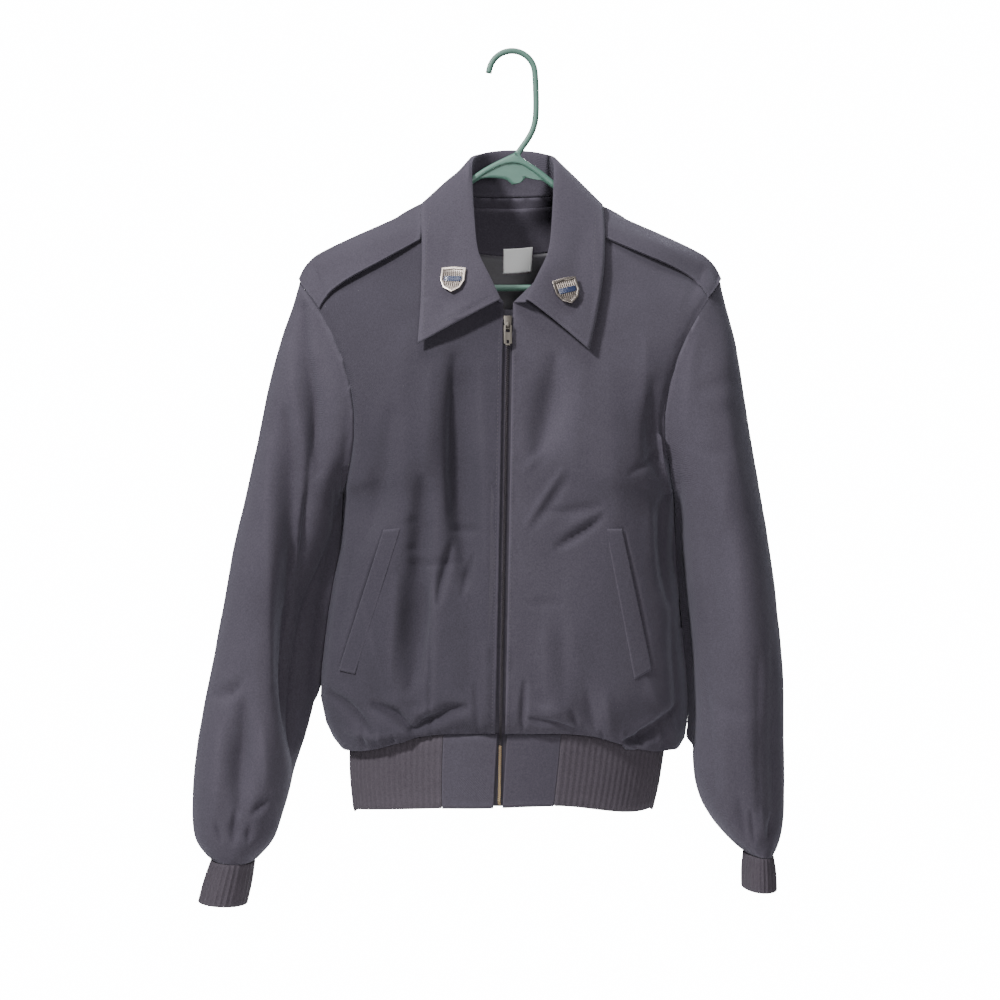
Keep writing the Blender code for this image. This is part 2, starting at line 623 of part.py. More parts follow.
def sleeve(side):
    angles = [2 * math.pi * k / SLEEVE_STEPS for k in range(SLEEVE_STEPS)]
    rows = [[armhole(side, a) + armhole_axis(side, a) * SLEEVE_HEAD_GAP for a in angles]]
    for k, ring in enumerate(SLEEVE_RINGS[side]):
        scoop = ARMHOLE_SCOOP * SCOOP_FADE[k] if k < len(SCOOP_FADE) else 0
        rows.append([ring_point(ring, side, a) - Vector((side * scoop * math.sin(a) ** 2, 0, 0)) for a in angles])
    rows.append([ring_point(CUFFS[side][0], side, a) + cuff_up(side) * SEAM for a in angles])
    base = np.array([[tuple(place) for place in row] for row in rows])
    middles = base.mean(axis=1, keepdims=True)
    outward = base - middles
    normals = face_out(grid_normals(base, True), outward)
    last = len(rows) - 1
    for i in range(1, last):
        for j, angle in enumerate(angles):
            face = FRONT if math.sin(angle) > 0 else BACK
            clear = ease((math.cos(angle) - UNDERARM_COSINE) / UNDERARM_FADE) * ease(abs(math.sin(angle)) / EDGE_SINE)
            fade = clear * ease(i / SLEEVE_END_ROWS) * ease((last - i) / SLEEVE_END_ROWS)
            base[i, j] += normals[i, j] * fold_rise(SLEEVE_FOLDS[side, face], Vector(base[i, j])) * fade
    normals = face_out(grid_normals(base, True), outward)
    for j, angle in enumerate(angles):
        normals[0, j] = armhole_normal(side, angle)
        flat = Vector(normals[-1, j])
        normals[-1, j] = (flat - cuff_up(side) * flat.dot(cuff_up(side))).normalized()
    wall("sleeve_" + SIDE_NAME[side], base, base - normals * CLOTH, TWILL, around=True)


def cuff(side):
    top, bottom = CUFFS[side]
    count = 2 * CUFF_RIBS
    rows = []
    for share, swell in ((0, 0), (0.5, CUFF_SWELL), (1, 0)):
        ring = CuffEnd(*(blend(a, b, share) for a, b in zip(top, bottom)))
        ring = ring._replace(out_x=ring.out_x + swell, in_x=ring.in_x - swell, depth=ring.depth + swell)
        rows.append([ring_point(ring, side, 2 * math.pi * k / count) for k in range(count)])
    base = np.array([[tuple(place) for place in row] for row in rows])
    normals = face_out(grid_normals(base, True), base - base.mean(axis=1, keepdims=True))
    up = np.array(cuff_up(side))
    normals -= up * (normals @ up)[:, :, None]
    normals /= np.linalg.norm(normals, axis=2, keepdims=True)
    outer = base.copy()
    outer[:, ::2] += normals[:, ::2] * RIB_RISE
    wall("cuff_" + SIDE_NAME[side], outer, base - normals * KNIT, RIB, around=True)


# Waistband
BAND_RIBS = 104
TAB_END = 0.058
BandRow = namedtuple("BandRow", "share half_width depth_front depth_back middle_x")
BAND_ROWS = (
    # share of the height, half width, depth to the front and back, x of the middle
    BandRow(0.0, WAIST_HALF, 0.0795, 0.0775, WAIST_MIDDLE_X),
    BandRow(0.5, 0.1600, 0.0805, 0.0785, -0.0050),
    BandRow(1.0, 0.1535, 0.0785, 0.0765, -0.0072),
)
BAND_BOW = 2.0
HEM_WAVE, HEM_WAVES = 0.0012, 5
HEM_BACK_DROP, HEM_SIDE_DROP = 0.004, 0.009
TAB_STEPS = 6
ANGLE_STEP = 0.004
BAND_MIDDLE_Z = -0.73


def band_point(row, angle):
    """A point round the waistband, 0 at the centre front and rising towards +X."""
    face = FRONT if math.cos(angle) > 0 else BACK
    depth = row.depth_front if face == FRONT else row.depth_back
    across = math.copysign(abs(math.sin(angle)) ** (2 / BAND_BOW), math.sin(angle))
    along = abs(math.cos(angle)) ** (2 / BAND_BOW)
    x = row.middle_x + row.half_width * across
    top = seam_height(face, WAIST_MIDDLE_X + WAIST_HALF * across) - 2 * SEAM
    hem_centre = HEM_Z if face == FRONT else HEM_Z - HEM_BACK_DROP
    side_way = ease((abs(across) - FLAT_MIDDLE) / (1 - FLAT_MIDDLE))
    hem = hem_centre - HEM_SIDE_DROP * side_way + HEM_WAVE * math.sin(HEM_WAVES * angle)
    return Vector((x, face * depth * along, blend(top, hem, row.share)))


def front_angle(x):
    """Angle of the band's middle row where it crosses x at the front."""
    share = (x - BAND_ROWS[1].middle_x) / BAND_ROWS[1].half_width
    return math.asin(math.copysign(abs(share) ** (BAND_BOW / 2), share))


def band_angles(start, end, count):
    """Angles that are evenly spaced along the band."""
    dense = np.linspace(start, end, 1441)
    ring = np.array([tuple(band_point(BAND_ROWS[1], a))[:2] for a in dense])
    lengths = np.concatenate(([0], np.cumsum(np.linalg.norm(np.diff(ring, axis=0), axis=1))))
    return np.interp(np.linspace(0, lengths[-1], count + 1), lengths, dense)


def band_piece(name, angles, ribbed, thick, finish):
    base = np.array([[tuple(band_point(row, a)) for a in angles] for row in BAND_ROWS])
    ahead = np.array([[tuple(band_point(row, a + ANGLE_STEP)) for a in angles] for row in BAND_ROWS])
    behind = np.array([[tuple(band_point(row, a - ANGLE_STEP)) for a in angles] for row in BAND_ROWS])
    along = ahead - behind
    normals = np.stack((along[:, :, 1], -along[:, :, 0], np.zeros(along.shape[:2])), axis=2)
    normals = face_out(normals, base * (1, 1, 0))
    normals /= np.linalg.norm(normals, axis=2, keepdims=True)
    outer = base.copy()
    if ribbed:
        outer[:, 1:-1:2] += normals[:, 1:-1:2] * RIB_RISE
    wall(name, outer, base - normals * thick, finish)


def waistband():
    zip_x = centre_x(BAND_MIDDLE_Z)
    inner = {side: front_angle(zip_x + side * ZIP_HALF_GAP) for side in (LEFT, RIGHT)}
    tab = {side: front_angle(zip_x + side * TAB_END) for side in (LEFT, RIGHT)}
    rib = {side: front_angle(zip_x + side * (TAB_END + SEAM)) for side in (LEFT, RIGHT)}
    for side in (LEFT, RIGHT):
        angles = band_angles(inner[side], tab[side], TAB_STEPS)
        band_piece("waistband_front_" + SIDE_NAME[side], angles, False, KNIT, TWILL)
    round_back = band_angles(rib[LEFT], rib[RIGHT] + 2 * math.pi, 2 * BAND_RIBS)
    band_piece("waistband_rib", round_back, True, KNIT, RIB)


# Collar: one fold, its stand up from the neck seam and its leaf down over the body
CollarPlace = namedtuple("CollarPlace", "edge roll_x roll_y roll_z leaf_x leaf_level face off gap")
CENTRE_BACK = 9.0
COLLAR = (
    # place along the neck edge, roll line, leaf edge on the body, its stand-off, gap at the seam
    CollarPlace(0.0, 0.0130, -0.0785, -0.2600, 0.0860, -0.3055, FRONT, 0.0090, 0.0014),
    CollarPlace(1.0, 0.0240, -0.0720, -0.2360, 0.0890, -0.2620, FRONT, 0.0080, 0.0012),
    CollarPlace(2.4, 0.0370, -0.0560, -0.2060, 0.0905, -0.2200, FRONT, 0.0070, 0.0010),
    CollarPlace(3.9, 0.0405, -0.0330, -0.1680, 0.0915, -0.1860, FRONT, 0.0060, 0.0009),
    CollarPlace(5.0, 0.0430, -0.0010, -0.1150, 0.0920, -0.1590, FRONT, 0.0060, 0.0008),
    CollarPlace(6.4, 0.0370, 0.0270, -0.1000, 0.0720, -0.1560, BACK, 0.0070, 0.0007),
    CollarPlace(7.7, 0.0205, 0.0440, -0.0945, 0.0380, -0.1560, BACK, 0.0078, 0.0007),
    CollarPlace(CENTRE_BACK, 0.0000, 0.0500, -0.0920, 0.0000, -0.1560, BACK, 0.0080, 0.0007),
)
COLLAR_STATIONS = [k / 2 for k in range(13)] + [7, 8, CENTRE_BACK]
COLLAR_MIDDLE_X = 0.003
RIGHT_TIP_X, LEFT_TIP_X, LEFT_TIP_DROP = 0.0085, -0.0110, 0.0060
ROLL_HALF_WIDTH = 0.0028
ROLL_DROP = 0.0018
STAND_BULGE = 0.0015
TIP_SPAN, MIDDLE_SPAN, BULGE_SPAN = 1.6, 2, 3
LEAST_X = 0.0001
TAPE_FIRST = 11
TAPE_EDGES = (0.06, 0.55)
TAPE_OFF = COLLAR_CLOTH / 2 + 0.0013


def neck_edge(front, back, side):
    """The neckline of one side, from the zip to the centre back."""
    places = [Vector(front[row, 0]) for row in range(NECK_ROWS, -1, -1)]
    return places + [Vector(back[0, BACK_MIDDLE + side * j]) for j in reversed(range(NECK_COLUMNS))]


def collar_half(front, back, side):
    """Section lines of half the collar, from the front end to the centre back."""
    edge = neck_edge(front, back, side)
    read = {key: column(COLLAR, "edge", key) for key in ("roll_x", "roll_y", "roll_z", "off", "gap")}
    leaves = []
    for row in COLLAR:
        tip = ease(1 - row.edge / TIP_SPAN)
        reach = row.leaf_x + tip * (RIGHT_TIP_X if side == RIGHT else LEFT_TIP_X)
        level = row.leaf_level - (tip * LEFT_TIP_DROP if side == LEFT else 0)
        x = side * max(reach, LEAST_X) + (COLLAR_MIDDLE_X if row.edge < CENTRE_BACK else 0)
        leaf = body_point(side, row.face, x, level) + body_normal(side, row.face, x, level) * row.off
        leaves.append(leaf)
    leaf_at = [curve([row.edge for row in COLLAR], [leaf[k] for leaf in leaves]) for k in range(3)]
    lines = []
    for station in COLLAR_STATIONS:
        k = min(int(station), len(edge) - 2)
        seat = edge[k].lerp(edge[k + 1], station - k)
        middle = COLLAR_MIDDLE_X * ease((CENTRE_BACK - station) / MIDDLE_SPAN)
        roll = Vector((middle + side * read["roll_x"](station), read["roll_y"](station), read["roll_z"](station)))
        leaf = Vector([leaf_at[axis](station) for axis in range(3)])
        rise = (roll - seat).normalized()
        seat = seat + rise * read["gap"](station)
        peak = (roll - (seat + leaf) / 2).normalized()
        out = leaf - seat
        out = (out - peak * out.dot(peak)).normalized()
        near = roll - peak * ROLL_DROP - out * ROLL_HALF_WIDTH
        far = roll - peak * ROLL_DROP + out * ROLL_HALF_WIDTH
        stand = (seat + near) / 2 - out * STAND_BULGE * ease(station / BULGE_SPAN)
        fall = (far + leaf) / 2 + out * STAND_BULGE + peak * STAND_BULGE
        lines.append([seat, stand, near, roll, far, fall, leaf])
    return lines


def collar(fronts, back):
    right = collar_half(fronts[RIGHT], back, RIGHT)
    left = collar_half(fronts[LEFT], back, LEFT)
    lines = right + left[-2::-1]
    middle = np.array([[tuple(place) for place in line] for line in lines])
    normals = grid_normals(middle)
    outward = middle[:, 3:4] - (middle[:, :1] + middle[:, -1:]) / 2
    if (normals[:, 3:4] * outward).sum() < 0:
        normals = -normals
    half = normals * COLLAR_CLOTH / 2
    wall("collar", middle + half, middle - half, TWILL)
    return middle, normals


def neck_tape(middle, normals):
    """A strip sewn over the neck seam, on the stand's inner face, round the back."""
    span = middle[TAPE_FIRST:len(middle) - TAPE_FIRST]
    away = normals[TAPE_FIRST:len(middle) - TAPE_FIRST]
    rows = []
    for share in TAPE_EDGES:
        point = span[:, 0] + (span[:, 1] - span[:, 0]) * share
        rows.append(point - away[:, 0] * TAPE_OFF)
    outer = np.array(rows)
    inner = outer - np.array([away[:, 0], away[:, 0]]) * LINING
    wall("neck_tape", outer, inner, TWILL)


# Pieces laid on or under a panel are made from its own points
def grid_at(grid, row, col):
    """A point between a grid's own points."""
    i, j = min(int(row), grid.shape[0] - 2), min(int(col), grid.shape[1] - 2)
    u, v = row - i, col - j
    upper = grid[i, j] * (1 - v) + grid[i, j + 1] * v
    lower = grid[i + 1, j] * (1 - v) + grid[i + 1, j + 1] * v
    return upper * (1 - u) + lower * u


def laid_piece(name, grid, normals, rows, cols, near, far, finish):
    """A wall between two distances from a panel's outer points, over a patch of its grid."""
    patch = np.array([[grid_at(grid, r, c) for c in cols] for r in rows])
    lines = np.array([[grid_at(normals, r, c) for c in cols] for r in rows])
    lines /= np.linalg.norm(lines, axis=2, keepdims=True)
    wall(name, patch + lines * far, patch + lines * near, finish)


LINING_OFF = CLOTH + 0.0014
FACING_ROWS = (0.4, 1, 2, 2.30)
LINING_ROWS = (2.32, 3, 4, 5, 6, 7, 8)
FACING_REACH, LINING_REACH = 3, 7
LABEL_ROWS = (2.0, 2.5, 3.0)
LABEL_COLUMNS = (-0.35, 0.6, 1.55)
LABEL_OFF = LINING_OFF + LINING + 0.0007
LABEL_THICK = 0.0006


def back_linings(back, aims):
    """Facing below the neck, half lining below it, and a blank label over the two."""
    narrow = [BACK_MIDDLE + c for c in range(-FACING_REACH, FACING_REACH + 1)]
    wide = [BACK_MIDDLE + c for c in range(-LINING_REACH, LINING_REACH + 1)]
    label = [BACK_MIDDLE + c for c in LABEL_COLUMNS]
    laid_piece("back_facing", back, aims, FACING_ROWS, narrow, -LINING_OFF - LINING, -LINING_OFF, TWILL)
    laid_piece("lining_back", back, aims, LINING_ROWS, wide, -LINING_OFF - LINING, -LINING_OFF, SATIN)
    laid_piece("neck_label", back, aims, LABEL_ROWS, label, -LABEL_OFF - LABEL_THICK, -LABEL_OFF, WHITE)


SEARCH_START = (0.6, 0.5)
SEARCH_ROUNDS, SEARCH_STEP, SEARCH_DAMPING = 40, 0.05, 0.7
SEARCH_EDGE = 1.1


def find_on_grid(grid, x, z):
    """Row and column of a panel's grid that lie at x and z, by stepping closer."""
    row, col = LAST_ROW * SEARCH_START[0], FRONT_COLUMNS * SEARCH_START[1]
    for _ in range(SEARCH_ROUNDS):
        here = grid_at(grid, row, col)
        along_row = grid_at(grid, row + SEARCH_STEP, col) - here
        along_col = grid_at(grid, row, col + SEARCH_STEP) - here
        slopes = np.array(((along_row[0], along_col[0]), (along_row[2], along_col[2]))) / SEARCH_STEP
        step = np.linalg.solve(slopes, np.array((x - here[0], z - here[2])))
        row = min(max(row + step[0] * SEARCH_DAMPING, 0), grid.shape[0] - SEARCH_EDGE)
        col = min(max(col + step[1] * SEARCH_DAMPING, 0), grid.shape[1] - SEARCH_EDGE)
    return row, col


Welt = namedtuple("Welt", "open_x open_z end_x end_z in_x in_z low_x low_z")
WELTS = {
    # opening line from top to bottom, then the inner edge from top to bottom
    LEFT: Welt(0.1105, -0.4882, 0.1407, -0.6293, 0.0945, -0.4882, 0.1234, -0.6387),
    RIGHT: Welt(-0.1261, -0.4894, -0.1720, -0.6311, -0.1091, -0.4874, -0.1551, -0.6341),
}
WELT_ROWS = 8
WELT_GAP, WELT_CLOTH = 0.0007, 0.0010


def pocket_welt(side, grid, normals):
    welt = WELTS[side]
    points, lines = [], []
    for share in np.linspace(0, 1, WELT_ROWS + 1):
        line, aim = [], []
        for across in (0, 0.5, 1):
            x = blend(blend(welt.in_x, welt.low_x, share), blend(welt.open_x, welt.end_x, share), across)
            z = blend(blend(welt.in_z, welt.low_z, share), blend(welt.open_z, welt.end_z, share), across)
            row, col = find_on_grid(grid, x, z)
            line.append(grid_at(grid, row, col))
            aim.append(grid_at(normals, row, col))
        points.append(line)
        lines.append(aim)
    points, lines = np.array(points), np.array(lines)
    lines /= np.linalg.norm(lines, axis=2, keepdims=True)
    wall("pocket_welt_" + SIDE_NAME[side], points + lines * (WELT_GAP + WELT_CLOTH), points + lines * WELT_GAP, TWILL)


# Epaulets over the shoulder seams
Strap = namedtuple("Strap", "inner_x inner_row outer_row back_row")
STRAPS = {
    # start beside the collar, rows down the front at that end and at the sleeve, row down the back
    RIGHT: Strap(0.0875, 1.7, 3.0, 0.4),
    LEFT: Strap(0.0925, 1.5, 2.3, 1.7),
}
STRAP_POINT = 0.003
STRAP_INNER_LIFT, STRAP_LIFT, STRAP_FRONT_LIFT = 0.0014, 0.0030, 0.0020
STRAP_SEAT, STRAP_SLOPE_SEAT = 0.0009, 0.00225
STRAP_FRONT_LINES = 7
STRAP_BACK_LINES = {RIGHT: 2, LEFT: 4}
STRAP_POINTEDNESS = 1.5
STRAP_SHORT = 0.0012
STRAP_RISE_SPAN, STRAP_SEAT_SPAN = 0.4, 0.07
RIDGE_SHARE = 0.1
STRAP_STATIONS = (0, 0.22, 0.44, 0.64, 0.8, 0.9, 0.96, 1)


def row_at_x(grid, normals, row, x):
    """Point and normal where a panel's row line crosses x."""
    i = min(int(row), grid.shape[0] - 2)
    line = grid[i] * (1 - (row - i)) + grid[i + 1] * (row - i)
    aims = normals[i] * (1 - (row - i)) + normals[i + 1] * (row - i)
    order = np.argsort(line[:, 0])
    point = [np.interp(x, line[order, 0], line[order, k]) for k in range(3)]
    aim = [np.interp(x, line[order, 0], aims[order, k]) for k in range(3)]
    return np.array(point), np.array(aim) / np.linalg.norm(aim)


def strap_end(side, grid, row):
    """Distance from the centre where a row line meets the armhole."""
    i = min(int(row), grid.shape[0] - 2)
    column_index = -1 if side == LEFT or grid.shape[1] == FRONT_COLUMNS + 1 else 0
    return abs(blend(grid[i, column_index, 0], grid[i + 1, column_index, 0], row - i))


def epaulet(side, front, front_aims, back, back_aims):
    strap = STRAPS[side]
    lines = [(front, front_aims, share) for share in np.linspace(1, 0, STRAP_FRONT_LINES)]
    lines += [(back, back_aims, share) for share in np.linspace(0, 1, STRAP_BACK_LINES[side])[1:]]
    points, aims = [], []
    for k, (grid, normals, share) in enumerate(lines):
        inner_row, outer_row = (strap.inner_row, strap.outer_row) if grid is front else (strap.back_row,) * 2
        middle = abs(2 * k / (len(lines) - 1) - 1)
        start = strap.inner_x + STRAP_POINT * middle ** STRAP_POINTEDNESS
        end = strap_end(side, grid, share * outer_row) - STRAP_SHORT
        lift = STRAP_LIFT + STRAP_FRONT_LIFT * (ease(share) if grid is front else 0)
        inner_lift = STRAP_INNER_LIFT if grid is front else STRAP_LIFT
        seat = STRAP_SEAT if share < RIDGE_SHARE else STRAP_SLOPE_SEAT
        line, aim_line = [], []
        for s in STRAP_STATIONS:
            row = share * blend(inner_row, outer_row, s)
            place, aim = row_at_x(grid, normals, row, side * blend(start, end, s))
            rise = blend(inner_lift, lift, ease(s / STRAP_RISE_SPAN))
            rise = blend(rise, seat, ease((s - 1 + STRAP_SEAT_SPAN) / STRAP_SEAT_SPAN))
            line.append(place + aim * rise)
            aim_line.append(aim)
        points.append(line)
        aims.append(aim_line)
    points, aims = np.array(points), np.array(aims)
    wall("epaulet_" + SIDE_NAME[side], points + aims * STRAP_CLOTH, points, TWILL)


# Zip
CHAIN_HALF = 0.0026
CHAIN_THICK = 0.0030
TAPE_HALF = 0.0140
TAPE_THICK = 0.0008
TAPE_DROP = KNIT + TAPE_THICK
TAPE_ABOVE = 0.006
ZIP_FOOT = (-0.728, -0.744, HEM_Z + 0.001)
UP_STEP = 0.004
SLIDER_Z = -0.2825
SLIDER_HALF = 0.0070


def zip_surface(level):
    """Point of the front surface on the zip line, and the outward direction there."""
    x = centre_x(level)
    if level > WAIST_LEVELS[-1]:
        point = body_point(LEFT, FRONT, x, level)
        above = body_point(LEFT, FRONT, x, level + UP_STEP)
    else:
        share = (level - WAIST_LEVELS[-1]) / (HEM_Z - WAIST_LEVELS[-1])
        depth = curve([row.share for row in BAND_ROWS], [row.depth_front for row in BAND_ROWS])
        height = blend(seam_height(FRONT, x), HEM_Z, share)
        point = Vector((x, FRONT * depth(share), height))
        above = Vector((x, FRONT * depth(share), height + UP_STEP))
    up = (above - point).normalized()
    return point, up.cross(Vector((1, 0, 0))) * -1


def zip_strip(name, levels, half, near, far, finish, columns):
    """A strip down the zip line between two distances from the front surface."""
    outer, inner = [], []
    for level in levels:
        point, aim = zip_surface(level)
        across = [Vector((half * (2 * k / columns - 1), 0, 0)) for k in range(columns + 1)]
        outer.append([tuple(point + step + aim * far) for step in across])
        inner.append([tuple(point + step + aim * near) for step in across])
    wall(name, np.array(outer), np.array(inner), finish)


def zip_pieces():
    rows = [front_edge(row) for row in range(NECK_ROWS + 1, LAST_ROW + 1)]
    tape_levels = [ZIP_TOP_Z - TAPE_ABOVE, *rows, *ZIP_FOOT]
    zip_strip("zip_tape", tape_levels, TAPE_HALF, -TAPE_DROP - TAPE_THICK, -TAPE_DROP, TAPE, 2)
    chain_levels = [SLIDER_Z - SLIDER_HALF - SEAM, *rows[1:], *ZIP_FOOT]
    near = -TAPE_DROP + SEAM
    zip_strip("zip_chain", chain_levels, CHAIN_HALF, near, near + CHAIN_THICK, BRASS, 1)


def block(shape, size, middle):
    """Add a box to a bmesh in the slider's own frame."""
    made = bmesh.ops.create_cube(shape, size=1)["verts"]
    bmesh.ops.scale(shape, vec=size, verts=made)
    bmesh.ops.translate(shape, vec=middle, verts=made)


def slider_frame():
    """Across, out of the cloth and up along it, from the slider's middle on the surface."""
    point, aim = zip_surface(SLIDER_Z)
    across = Vector((1, 0, 0))
    up = aim.cross(across)
    up = up if up.z > 0 else -up
    frame = Matrix((across, aim, up)).transposed().to_4x4()
    frame.translation = point
    return frame


PIVOT_OUT = 0.0042
PIVOT_UP = -0.0030
PULL_LENGTH, PULL_WIDTH, PULL_THICK = 0.0225, 0.0080, 0.0016
BRIDGE_WIDTH, BRIDGE_HALF_GAP, BRIDGE_LEG = 0.0024, 0.0017, 0.0012
BRIDGE_SEAT, BRIDGE_CROWN = 0.0019, 0.0010
SLIDER_WIDTH, SLIDER_THICK, SLIDER_OUT, SLIDER_TAPER = 0.0084, 0.0044, 0.0003, 0.72
PULL_BAR, PULL_CORNER = 0.0009, 0.0018
SLOT_WIDTH, SLOT_LENGTH = 0.0042, 0.0072
HOLE_WIDTH, HOLE_LENGTH, HOLE_UP = 0.0024, 0.0034, 0.0036
CUT_DEPTH = 0.006


def boolean(target, tool, operation):
    change = target.modifiers.new(operation.lower(), "BOOLEAN")
    change.operation = operation
    change.object = tool
    change.solver = "EXACT"
    tool.hide_render = True
    tool.display_type = "WIRE"


def slider_and_pull():
    frame = slider_frame()
    # The slider's body narrows to its lower end, with an arched bridge for the pull
    body = bmesh.new()
    block(body, (SLIDER_WIDTH, SLIDER_THICK, 2 * SLIDER_HALF), (0, SLIDER_OUT, 0))
    for vert in body.verts:
        if vert.co.z < 0:
            vert.co.x *= SLIDER_TAPER
    bmesh.ops.transform(body, matrix=frame, verts=body.verts)
    slider = add_object("zip_slider", body, BRASS)
    arch = bmesh.new()
    inside, outside = BRIDGE_HALF_GAP, BRIDGE_HALF_GAP + BRIDGE_LEG
    top = PIVOT_OUT + BRIDGE_HALF_GAP
    outline = [(-outside, BRIDGE_SEAT), (-outside, top), (-inside, top + BRIDGE_CROWN), (inside, top + BRIDGE_CROWN),
               (outside, top), (outside, BRIDGE_SEAT), (inside, BRIDGE_SEAT), (inside, top), (-inside, top),
               (-inside, BRIDGE_SEAT)]
    ends = [[arch.verts.new((x, out, PIVOT_UP + up)) for up, out in outline]
            for x in (-BRIDGE_WIDTH / 2, BRIDGE_WIDTH / 2)]
    for k in range(len(outline)):
        n = (k + 1) % len(outline)
        arch.faces.new((ends[0][k], ends[0][n], ends[1][n], ends[1][k]))
    for end in ends:
        arch.faces.new(end)
    bmesh.ops.transform(arch, matrix=frame, verts=arch.verts)
    bridge = add_object("bridge_shape", arch, BRASS)
    boolean(slider, bridge, "UNION")

    # The pull tab has a slot for the bridge near its top and a small hole at its foot
    pull = bmesh.new()
    middle = PIVOT_UP + PULL_BAR - PULL_LENGTH / 2
    block(pull, (PULL_WIDTH, PULL_THICK, PULL_LENGTH), (0, PIVOT_OUT, middle))
    upright = [edge for edge in pull.edges if abs(edge.verts[0].co.y - edge.verts[1].co.y) > PULL_THICK / 2]
    bmesh.ops.bevel(pull, geom=upright, offset=PULL_CORNER, segments=3, affect="EDGES")
    bmesh.ops.transform(pull, matrix=frame, verts=pull.verts)
    tab = add_object("zip_pull_tab", pull, BRASS)
    cuts = bmesh.new()
    block(cuts, (SLOT_WIDTH, CUT_DEPTH, SLOT_LENGTH), (0, PIVOT_OUT, PIVOT_UP - PULL_BAR - SLOT_LENGTH / 2))
    block(cuts, (HOLE_WIDTH, CUT_DEPTH, HOLE_LENGTH), (0, PIVOT_OUT, PIVOT_UP + PULL_BAR - PULL_LENGTH + HOLE_UP))
    bmesh.ops.transform(cuts, matrix=frame, verts=cuts.verts)
    cutter = add_object("pull_cutter", cuts, BRASS)
    boolean(tab, cutter, "DIFFERENCE")


# Collar badges: plain metal shields with a raised rim
Badge = namedtuple("Badge", "x z turn")
BADGES = {RIGHT: Badge(-0.0572, -0.2400, -0.10), LEFT: Badge(0.0566, -0.2515, 0.30)}
SHIELD = ((-0.0125, 0.0130), (0.0, 0.0142), (0.0125, 0.0130), (0.0125, -0.0010), (0.0085, -0.0090),
          (0.0, -0.0140), (-0.0085, -0.0090), (-0.0125, -0.0010))
BADGE_THICK, BADGE_RIM, BADGE_FIELD = 0.0012, 0.0022, 0.84
BADGE_REACH, BADGE_OFF = 0.026, 0.0004
NEAREST, AROUND = 6, 14


def collar_badge(side, middle, normals):
    badge = BADGES[side]
    leaf = middle[:, 4:].reshape(-1, 3)
    aims = normals[:, 4:].reshape(-1, 3)
    order = np.argsort((leaf[:, 0] - badge.x) ** 2 + (leaf[:, 2] - badge.z) ** 2)
    near = order[:NEAREST]
    aim = Vector(aims[near].mean(axis=0)).normalized()
    right = Vector((1, 0, 0))
    right = (right - aim * right.dot(aim)).normalized()
    up = right.cross(-aim)
    up = up if up.z > 0 else -up
    turned = Matrix.Rotation(badge.turn, 3, aim)
    right, up = turned @ right, turned @ up
    centre = Vector(leaf[order[0]])
    seat = Vector((badge.x, 0, badge.z))
    seat.y = centre.y - (aim.x * (seat.x - centre.x) + aim.z * (seat.z - centre.z)) / aim.y
    inside = [k for k in order[:AROUND] if (Vector(leaf[k]) - seat).length < BADGE_REACH]
    high = max([(Vector(leaf[k]) - seat).dot(aim) for k in inside] + [0])
    base = seat + aim * (high + COLLAR_CLOTH / 2 + BADGE_OFF)
    shape = bmesh.new()
    rings = []
    for scale, rise in ((1, 0), (1, BADGE_RIM), (BADGE_FIELD, BADGE_RIM), (BADGE_FIELD, BADGE_THICK)):
        rings.append([shape.verts.new(base + (right * x + up * z) * scale + aim * rise) for x, z in SHIELD])
    for low, high_ring in zip(rings, rings[1:]):
        for k in range(len(SHIELD)):
            n = (k + 1) % len(SHIELD)
            shape.faces.new((low[k], low[n], high_ring[n], high_ring[k]))
    shape.faces.new(rings[0])
    shape.faces.new(rings[-1])
    add_object("collar_badge_" + SIDE_NAME[side], shape, PIN)


# Hanger: one moulding of tube, web and hook
TUBE = 0.0037
HOOK_TUBE = 0.0035
HOOK_RADIUS = 0.0240
HOOK_MIDDLE_X = 0.0020
TUBE_SIDES = 8
ARM_POINTS = ((0.028, -0.1205), (0.0480, -0.1378), (0.068, -0.1535), (0.0886, -0.1675),
              (0.120, -0.1838), (0.150, -0.1988), (0.180, -0.2138))
APEX_Z = -0.1055
BAR_Z = -0.2410
END_MIDDLE_X, END_RADIUS = 0.1885, 0.0105
END_TURN = (45, 10, -30, -60, -90)
BAR_POINTS_X = (0.12, 0.06)
HOOK_ARC = range(178, -1, -16)
STEM = ((0.0270, -0.045), (0.0270, -0.068), (0.0225, -0.082), (0.014, -0.094), (0.0065, -0.1045))
WEB_OUTLINE = ((0.004, -0.106), (0.046, -0.1315), (0.030, -0.1300), (0.016, -0.1275), (0.011, -0.1335),
               (0.002, -0.1345), (-0.004, -0.1280), (-0.020, -0.1275), (-0.036, -0.1275))
WEB_HALF = 0.0012


def tube(name, points, radius, closed):
    """Sweep a round section along a line in the XZ plane."""
    shape = bmesh.new()
    count = len(points)
    rings = []
    for k, point in enumerate(points):
        before = points[k - 1] if closed or k > 0 else point
        after = points[(k + 1) % count] if closed or k < count - 1 else point
        run = (Vector(after) - Vector(before)).normalized()
        side_way = Vector((0, 1, 0))
        other = run.cross(side_way)
        rings.append([shape.verts.new(Vector(point) + (side_way * math.cos(a) + other * math.sin(a)) * radius)
                      for a in [2 * math.pi * n / TUBE_SIDES for n in range(TUBE_SIDES)]])
    for k in range(count if closed else count - 1):
        ring, following = rings[k], rings[(k + 1) % count]
        for n in range(TUBE_SIDES):
            m = (n + 1) % TUBE_SIDES
            shape.faces.new((ring[n], ring[m], following[m], following[n]))
    if not closed:
        shape.faces.new(rings[0])
        shape.faces.new(rings[-1])
    return add_object(name, shape, GREEN)


